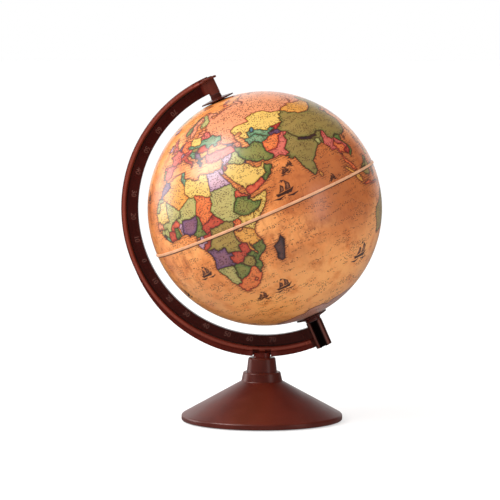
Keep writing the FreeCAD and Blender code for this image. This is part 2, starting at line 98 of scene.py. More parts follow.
# Coasts, drawn as longitude and latitude in degrees, each closed on itself.
coasts = {
    "oldWorld": """
        -5.9 35.8, -4.6 35.2, -2 35.1, 0 35.8, 3 36.9, 7 37, 9.8 37.3, 11 37, 10.5 36.4, 10.7 35.2,
        10.1 34.2,
        11.2 33.2, 13.2 32.9, 15.3 32.3, 15.7 31.3, 18 30.5, 19.4 30.4, 20.1 31.2, 20 32.2, 21.7 32.9,
        23.1 32.4,
        25 31.6, 27.3 31.2, 29 30.9, 30.4 31.5, 32.3 31.2, 34.2 31.3, 34.9 32.7, 35.5 33.9, 35.9 35,
        36.1 36.6,
        34.6 36.7, 33.7 36.2, 32.5 36.1, 30.6 36.8, 30.4 36.3, 28.2 36.7, 27.3 37, 26.3 38.3, 26.9 38.8,
        26.1 39.5,
        26.7 40.5, 26 40.8, 24.6 40.9, 24.2 40.1, 22.9 40.5, 22.7 39.8, 24 38.1, 23 37.9, 23.2 37.3,
        22.8 36.6,
        21.6 36.9, 21.2 37.9, 22.8 38.1, 21.2 38.4, 20 39.7, 19.4 40.5, 19.5 41.8, 16.4 43.4, 14.6 45.2,
        13.6 45,
        13.6 45.6, 12.4 45.4, 12.4 44.4, 13.6 43.6, 14.2 42.5, 16.1 41.8, 18.2 40.4, 18.4 39.9, 17 40.5,
        17.1 39,
        16.1 38, 15.7 38.2, 16.1 39, 15.4 40.1, 14.3 40.8, 12.3 41.7, 10.4 43, 10.1 44, 8.8 44.4, 7.5 43.8,
        6.2 43.1, 4 43.5, 3.1 42.8, 3.2 41.9, 1 41, -0.3 39.5, 0.1 38.7, -0.8 37.7, -2.1 36.8, -4.4 36.7,
        -5.6 36,
        -6.5 36.9, -8.9 37, -8.8 38.4, -9.5 38.8, -8.8 40.5, -9.2 43, -8 43.7, -3.8 43.4, -1.7 43.4,
        -1.1 46,
        -2.4 47.4, -4.6 48, -4.6 48.6, -1.7 48.6, -1.8 49.7, 0.1 49.5, 1.6 50.9, 3.6 51.5, 4.7 52.9, 7 53.5,
        8.6 53.8, 8.1 55.5, 8.2 57, 10.6 57.7, 10.2 56.5, 9.7 55, 11 54, 12.5 54.4, 14.3 53.9, 16.5 54.5,
        18.6 54.7, 19.8 54.4, 21.1 55.5, 21.6 57.5, 23 57.1, 24.3 57.3, 23.6 58.8, 24.5 59.4, 28 59.5,
        30 60,
        28 60.5, 25 60.2, 22.9 59.9, 21.4 61, 21.4 62.8, 24.5 64.8, 25.3 65.2, 22.3 65.7, 21.4 64.4,
        17.8 62.5,
        17.3 61, 18.8 60, 16.7 58.6, 16.4 56.7, 14.4 55.5, 12.8 55.6, 11.3 58.6, 10.6 59.3, 8 58.1,
        5.6 58.8,
        5 61, 7 62.8, 10.5 64.4, 13 66.3, 15.5 68.3, 19 69.8, 23.5 70.6, 28 71.1, 31 70.3, 33.5 69.4,
        40.8 67.7,
        41 66.5, 37 66.3, 33 66.7, 34.8 64.4, 37.5 64, 38 64.9, 40.2 64.7, 40 65.9, 42.2 66.4, 44 66.2,
        43.5 68.5,
        46 68, 46.2 66.9, 53 68.7, 59 68.6, 60.5 69.8, 65 69.2, 68.3 68.3, 67 69.6, 66.8 71, 69 72.8,
        72.6 72.8,
        72.4 70.5, 73.6 68, 71.6 66.4, 75 67.8, 74.2 70, 75 72.4, 80.5 73.6, 87 75, 98 76.3, 104 77.7,
        113 76,
        106.5 74, 113.5 73.6, 127 73.4, 129 71, 133 71.6, 139.5 71.7, 140 72.5, 150 71.6, 160 69.8,
        170 69.1,
        171 70, 180 68.9, 184.5 67.3, 190.2 66.1, 187 64.4, 182 65.5, 179.5 64.7, 179.3 62.5, 174 61.7,
        170.3 60,
        164 59.9, 162 58, 163.2 56.2, 160 54, 156.7 51, 155.7 53.5, 156 56.8, 160 60, 163.5 62.3, 160 61.7,
        156.7 61.4, 154.5 59.6, 148.5 59.4, 142 59.2, 135.2 54.8, 138 53.8, 141.3 52.9, 140.4 50, 140.2 48,
        136 44.5, 132.3 43.2, 129.7 41.8, 127.5 39.7, 129.4 37, 129.2 35.2, 126.5 34.4, 126.6 37, 124.8 38,
        125.2 39.5, 124 39.9, 121.3 38.8, 121.9 40.8, 119.2 39.4, 117.7 38.7, 119 37.3, 122.5 37.2,
        120.4 36,
        119.3 34.9, 121.7 32.2, 121.9 29.2, 119.7 25.9, 116 22.8, 113.5 22.2, 110.4 21.3, 109.8 20.3,
        109.6 21.6,
        107.9 21.6, 105.8 19, 107.4 16.8, 109.2 13.5, 109 11.5, 106.8 10.4, 105 8.6, 104.8 10.4, 102.5 12,
        100.9 12.7, 100.5 13.5, 100 13.3, 99.3 10.3, 100.4 8, 101.4 6.9, 103.4 4.5, 104.2 1.4, 103.3 1.4,
        101.3 2.9, 100.3 5.8, 98.3 8.1, 98.6 10.5, 98.7 12.5, 97.6 16, 95.4 15.8, 94.3 16, 94.4 18.3,
        92.3 20.8,
        91.8 22.5, 90.3 22.1, 88.2 21.7, 86.9 20.7, 85.2 19.6, 82.3 16.7, 80.2 15.3, 80.3 13.2, 79.8 10.3,
        79 9.3, 77.5 8.1, 76.3 9.9, 74.8 12.9, 73.4 16, 72.8 19, 72.6 21.4, 70.9 20.8, 69 22.2, 70.2 22.9,
        68.2 23.7, 67.2 24.8, 66.5 25.4, 61.6 25.2, 57.3 25.7, 56.8 27.1, 54.8 26.6, 51.5 27.8, 50.7 29.2,
        48.6 30,
        48 29.6, 48.4 28.4, 50 26.6, 50.8 24.8, 51.3 26.1, 51.7 24.4, 54 24.2, 56.2 26.1, 56.4 24.9,
        57.2 23.8,
        58.7 23.5, 59.8 22.4, 57.8 20.2, 57.7 18.9, 55.3 17.3, 52.2 15.6, 48.8 14, 45 12.8, 43.5 12.7,
        42.8 14.8,
        42.5 16.7, 40.8 19.8, 39.1 21.3, 37.3 24.3, 35.2 28, 34.9 29.4, 34.3 27.8, 33.4 28.3, 32.6 29.9,
        32.7 28.9, 33.9 26.9, 35.5 24, 36.9 22, 37.2 19.6, 38.5 18, 39.5 15.6, 41.2 14.6, 43.2 12.5,
        43.2 11.6,
        44.3 10.4, 47 11.1, 51.2 11.9, 50.9 9.4, 49 6, 47.8 4.2, 45.3 2, 42.4 -0.6, 40.2 -2.6, 39.2 -4.7,
        38.8 -6.3, 39.5 -8.5, 40.5 -10.5, 40.7 -15, 39 -17, 36.9 -18, 34.8 -19.8, 35.5 -22, 35.3 -24,
        32.9 -25.4,
        32.7 -27.5, 31 -29.9, 28.5 -32.6, 25.7 -33.9, 22.2 -34.1, 20 -34.8, 18.4 -34.2, 18 -32.6, 16.8 -29,
        15.2 -26.8, 14.4 -22.9, 12 -18, 11.8 -16, 13.5 -12.4, 13.3 -9.5, 12.2 -6, 9.3 -2.6, 8.8 -0.7, 9.4 1,
        9.8 3.3, 8.5 4.7, 6.1 4.3, 4.9 5.9, 3.4 6.4, 1.2 6, -2.1 4.8, -4 5.2, -7.5 4.4, -9.7 5.6, -11.5 6.9,
        -13.2 8.7, -15 10.9, -16.8 12.4, -17.4 14.7, -16.4 16.5, -16.3 19.2, -17 21, -16 23.7, -14.5 26.1,
        -12.9 27.9, -10 29.3, -9.7 31.4, -8.5 33.2, -6.8 34.1""",
    "madagascar": """
        49.3 -12, 50.4 -15.6, 49.5 -17.8, 47.2 -24.8, 45.2 -25.5, 43.7 -23.4, 44.4 -20, 44.4 -16.4,
        47 -15.2, 48.4 -13.4""",
    "sriLanka": "80 9.6, 81.2 8.4, 81.8 7, 80.6 5.9, 79.8 7.2",
    "britain": """
        -5.5 50.1, -3.5 50.3, 1.4 51.2, 1.7 52.7, 0.3 53, -1.6 55, -2 57.6, -4 57.7, -3.2 58.6, -5 58.6,
        -6 56.6, -4.8 54.8, -3 54, -4.6 53.2, -4.3 52.3, -5.2 51.8, -3 51.4""",
    "ireland": "-6.2 53.4, -6.4 52.2, -9.8 51.6, -10 54.2, -8.2 55.2, -6 55.1",
    "iceland": "-22.7 63.9, -18.8 63.4, -13.8 64.7, -15.5 66.4, -20.3 66, -24 65.6",
    "spitsbergen": "11 79.5, 15 76.8, 24 78.3, 27 80.1, 17 80",
    "novayaZemlya": "52 71.3, 57.5 70.7, 55.5 73.2, 61 75.3, 68.5 76.8, 60 76.3, 54 74",
    "severnaya": "91 80, 96 81, 104 79, 99 78",
    "newSiberian": "138 75.8, 150 75.2, 142 73.5",
    "sakhalin": "141.8 53.4, 142.8 54.3, 143.3 52.5, 143.2 49.3, 143.4 46.6, 142 46, 142 48.5, 141.8 51",
    "hokkaido": "140 41.6, 143.2 42, 145.4 43.3, 142 45.4, 141.2 43.3",
    "honshu": """
        140.6 41.2, 141.9 39.6, 140.9 37, 140.7 35.6, 138.6 34.7, 135.7 33.6, 133 34.4, 131 34,
        133 35.5, 136 35.8, 137.2 37.4, 138.8 37.6, 139.9 39.3""",
    "kyushu": "129.8 33.2, 131.6 33.5, 131.3 31.3, 130.1 31.3",
    "shikoku": "132.3 33.6, 134.5 34.1, 134 33.3, 132.8 32.9",
    "taiwan": "121.6 25.2, 120.8 22, 120.1 23.4",
    "hainan": "108.7 19.2, 110.5 20, 111 19.6, 109.5 18.2",
    "luzon": "120.5 18.5, 122.2 18.4, 121.6 16, 124 13, 122.6 13.6, 120.7 13.9, 119.9 16",
    "visayas": "122.3 11.6, 124.6 12.6, 125.5 11.6, 124.9 10, 123 9.2",
    "mindanao": "122.1 7, 125.4 9.7, 126.5 7.5, 125.5 5.8, 124 6.6",
    "borneo": """
        109 1.6, 109.1 -0.6, 110.2 -2.9, 114.5 -4, 116.3 -3.4, 117.5 0.8, 118.9 1, 117.8 3.5, 119.2 5.2,
        117 7, 115.4 5.4, 113.2 3.2, 111.3 2.6""",
    "sumatra": """
        95.3 5.6, 97.5 5.2, 100.5 2.3, 103.5 0, 106 -3, 105.8 -5.8, 104.5 -5.8, 102.3 -4, 100.4 -1,
        98.7 1.7""",
    "java": "105.2 -6.8, 108.5 -6.7, 110.8 -6.4, 112.7 -7, 114.5 -7.8, 114.4 -8.7, 110 -8.1, 106.5 -7.4",
    "lesserSunda": "115.4 -8.2, 119 -8.3, 123 -8.3, 119.5 -9.2, 116 -8.9",
    "timor": "123.7 -10.2, 125 -9, 127.2 -8.4, 125.4 -9.5",
    "sulawesi": """
        119.5 -5.5, 119.3 -3.3, 119.8 0.4, 121 1.2, 123.5 1, 125.1 1.6, 124.2 0.4, 120.3 0.5,
        120.2 -0.9, 123.3 -0.8, 121.5 -1.9, 122.9 -4.3, 121.6 -4.6, 121 -2.8, 120.4 -3.2, 120.4 -5.5""",
    "halmahera": "127.5 1.8, 128.7 0.9, 127.9 -0.8",
    "newGuinea": """
        131 -0.8, 134.2 -0.9, 135 -3.3, 138 -1.7, 141 -2.6, 145 -4.3, 147.8 -6.1, 147 -7, 150.8 -10.4,
        147 -9.5, 144 -7.7, 142 -9.2, 138 -8.3, 138.3 -5.8, 133.2 -4, 132.8 -2.8""",
    "newBritain": "148.5 -5.7, 150.6 -5.4, 152.1 -4.2, 151.7 -5.5, 149.5 -6.3",
    "australia": """
        114 -22, 113.4 -26, 115 -30, 115.7 -32, 115 -34.2, 118 -35, 120 -34, 123.5 -33.9, 126 -32.3,
        131 -31.6, 134.2 -32.8, 135.7 -34.9, 137.8 -32.7, 137.9 -35.4, 140 -37.8, 143.5 -38.8,
        146.3 -39, 150 -37.3, 151.3 -33.5, 153.5 -29, 153.1 -25.3, 150.8 -23, 149 -20.5, 146.2 -18.8,
        145.4 -15, 143.8 -14.3, 142.5 -10.8, 141.6 -13, 141 -17, 139.3 -17.4, 135.5 -15, 136.8 -12.2,
        132.6 -11.4, 130.8 -12.4, 129.6 -15, 126.5 -14, 123.7 -16.5, 122.2 -18, 119 -20, 116.7 -20.6""",
    "tasmania": "144.7 -40.8, 148.2 -40.9, 148 -43, 146.2 -43.6",
    "newZealandNorth": """
        172.8 -34.5, 175 -36.6, 178.4 -37.7, 177 -39.5, 175.3 -41.6, 175 -40, 173.8 -39.3, 174.7 -37.4""",
    "newZealandSouth": """
        172.7 -40.6, 174.3 -41.7, 172.8 -43.7, 170.8 -45.9, 168.4 -46.6, 166.5 -45.8, 170 -43""",
    "newCaledonia": "164 -20.2, 167 -22.3, 165 -21.6",
    "fiji": "177.3 -17.7, 178.7 -17.6, 178.2 -18.3",
    "hawaii": "-156 20.2, -155 19.6, -155.8 19",
    "americas": """
        -168 65.6, -164.5 66.5, -162 66.3, -166.5 68.3, -163 69.6, -156.5 71.3, -149 70.5, -141 69.7,
        -135.5 69,
        -128 70.3, -120 69.5, -115 68.3, -108.5 68, -101 67.8, -95.5 68.5, -94.5 71.6, -92 70.8, -90 69,
        -86 68,
        -84.5 69.5, -81.5 69, -82 67, -86.5 66.3, -87.5 64.4, -93.5 62, -94.8 59, -92.5 57, -88 56.6,
        -82.3 55.2,
        -82 53, -79.5 51.4, -79 54, -76.7 56, -78.3 58.7, -77.5 62.3, -73.8 62.3, -70 60.9, -67 58.5,
        -64.5 60.2,
        -61.5 57, -58 54.8, -56 52.4, -60 50.2, -66.5 50.2, -69.5 48, -65 49.1, -64.8 47.4, -61 45.8,
        -60 46.3,
        -65.8 43.7, -66.5 45, -70.5 43.2, -70.3 41.7, -74 40.6, -75.8 37, -76 35.2, -79 33.3, -81.3 31.2,
        -80.2 26.8, -80.8 25.3, -82 27, -82.8 29, -84 30, -88 30.3, -90 29.1, -94 29.6, -97.2 27.5,
        -97.8 22.3,
        -96 19, -94.5 18.2, -91.8 18.6, -90.4 21, -87 21.5, -88 18.5, -88.6 15.9, -83.3 15.1, -83.7 11.2,
        -82 9.1, -79.5 9.5, -77.3 8.6, -75.5 10.7, -73 11.3, -71.5 12.2, -70 12, -68 10.6, -62 10.7,
        -60 8.5,
        -57.5 6.1, -54 5.8, -51.3 4.2, -50 1.6, -50.4 -0.2, -48 -0.9, -44.3 -2.6, -40 -2.9, -37 -4.8,
        -35.2 -5.6,
        -34.9 -8, -37 -11, -39 -13.2, -39.2 -17.6, -41 -22, -44.5 -23.2, -48 -25.5, -48.7 -28.4, -52 -33,
        -54.9 -34.9, -58.2 -34.2, -57 -36.4, -58 -38.2, -62 -39, -62.6 -41, -65 -41, -65.3 -45, -67.5 -46,
        -65.9 -47.8, -69 -51, -68.3 -52.6, -65.3 -54.7, -70 -55.2, -74 -52.5, -75.3 -49, -75.3 -46.7,
        -73.4 -44,
        -73.8 -41.8, -73.6 -37, -71.6 -33, -71.4 -30, -70.3 -24, -70.3 -18.4, -76.2 -14, -79 -8.3, -81.2 -6,
        -80.3 -3.4, -80.9 -1, -80 0.8, -78.6 1.8, -77.2 4, -77.5 7, -78.8 9, -80.4 7.3, -82.9 8.3, -85.7 10,
        -87.5 12.9, -91.5 14, -94.5 16.2, -96.5 15.7, -102 18, -105.6 20.4, -105.5 22.6, -109.3 25.8,
        -112.8 30,
        -114.7 31.6, -113 28.6, -110.6 24.4, -109.5 23, -112.2 26, -115 28, -116.6 31.2, -117.5 33.3,
        -120.6 34.6,
        -122.5 37.5, -124.3 40.4, -124 46, -124.6 48.3, -122.9 49, -127.5 51, -130.3 54.5, -133.8 57.5,
        -137 58.9,
        -139.7 59.7, -146 60.7, -151.6 59.3, -154 58.6, -158.5 56, -164.7 54.6, -160.5 56, -157.6 58.7,
        -162 58.7,
        -165.5 61, -164.5 63, -161 64.4, -166 64.5""",
    "greenland": """
        -73 78.2, -66 80.4, -60 82, -32 83.6, -14 81.6, -19 79.4, -19.5 76, -22.3 72.5, -24 70.3,
        -32 68.2, -39.5 65.5, -43 60, -48 61, -51.5 63.5, -53.5 67, -51 69.6, -55 72, -58.5 75.6, -68 76""",
    "baffin": """
        -64.5 63.2, -71.8 62.8, -78 64.5, -73 65.5, -73 67.8, -79 70, -89 71, -89.5 73.4, -76 72.8,
        -67 69.8, -61.5 66.7""",
    "victoriaIsland": "-117 69.8, -105 69.2, -101.5 70.2, -105 73, -118.5 71.7",
    "banksIsland": "-125.5 72, -123 71.3, -118.8 73, -121 74.4, -124.5 74.2",
    "devonIsland": "-80.5 75.6, -80.5 74.6, -95 74.8, -96 76.6, -86 76",
    "ellesmere": "-77 77.2, -88.5 76.9, -88 78.5, -92 80.8, -82 82.9, -70 83.1, -62 82.4, -75 79.4",
    "newfoundland": "-59.3 47.7, -55 46.8, -52.8 47, -53.6 49.2, -55.5 51.5, -57.5 50.3",
    "cuba": "-84.9 21.9, -82.5 23, -79 22.6, -74.3 20.2, -77.6 19.9, -78.3 20.9, -81.5 22.2",
    "hispaniola": "-74.4 18.5, -73 19.9, -70 19.7, -68.4 18.6, -71.5 17.9",
    "jamaica": "-78.3 18.3, -76.3 18, -77.2 17.8",
    "falklands": "-61 -51.8, -58 -51.4, -59 -52.3",
    "antarctica": """
        -58 -63.4, -62 -65.2, -65 -68, -62 -72, -61 -75, -50 -77.6, -36 -78, -28 -76, -20 -73.8,
        -10 -71.3, 0 -70.2, 15 -70, 33 -69, 40 -69.6, 50 -66.8, 57 -67, 68 -68, 73 -69.8, 80 -67.8,
        90 -66.6, 100 -66, 110 -66.3, 122 -66.7, 135 -66.2, 145 -67.3, 155 -69.2, 165 -70.8, 170 -72,
        165 -75, 163.5 -77.6, 180 -78.3, 195 -78.4, 205 -77.3, 213 -76, 225 -74.8, 245 -74, 255 -74.6,
        270 -73.2, 285 -73, 292 -70, 293 -67, 298 -64.6, 302 -63.4""",
    "blackSea": """
        28 42.4, 29 41.3, 31.3 41.2, 33.3 42, 35 42, 36.3 41.3, 38.5 41, 41.4 41.5, 41.5 42.6, 39 44,
        37.2 45.1, 39.2 47.1, 36.5 46.7, 35 46.2, 36.3 45.3, 35.3 45.1, 33.6 44.5, 32.6 45.4, 33.3 46,
        31.5 46.6, 29.6 45, 28.6 44""",
    "caspianSea": """
        49.2 37.5, 50.2 37.3, 52 36.7, 54 36.9, 53.8 39, 52.8 40, 53 41.5, 51.5 43.2, 50.6 44.5,
        53 45.3, 52.8 46.7, 50 46.7, 48 45.9, 47.2 44.4, 47.6 43, 48.6 41.8, 49.8 40.4, 49.2 39""",
    "aralSea": "58.3 44, 60 43.6, 61.6 45, 61 46.7, 59.5 46.5, 58.4 45.5",
    "lakeVictoria": "32 0.3, 34 0.1, 34.1 -1.6, 33 -2.5, 31.7 -2.3, 31.7 -1",
    "lakeTanganyika": "29.2 -3.4, 29.8 -4.6, 31 -8.6, 30.4 -8, 29.3 -5.6",
    "lakeMalawi": "33.9 -9.6, 34.8 -12, 35.1 -14.2, 34.3 -12.4",
    "lakeBaikal": "103.8 51.6, 106.4 52.3, 109.2 53.6, 109.8 55.6, 107.8 53.6",
    "lakeSuperior": "-92 46.8, -88 47.2, -84.8 46.6, -86 48.6, -88.6 48.7",
    "lakeMichigan": "-87.8 42, -86.3 42.2, -85.4 45.6, -87.8 45",
    "lakeHuron": "-84.4 45.9, -83 44, -81.8 43.4, -80.4 45, -82 46.1",
}
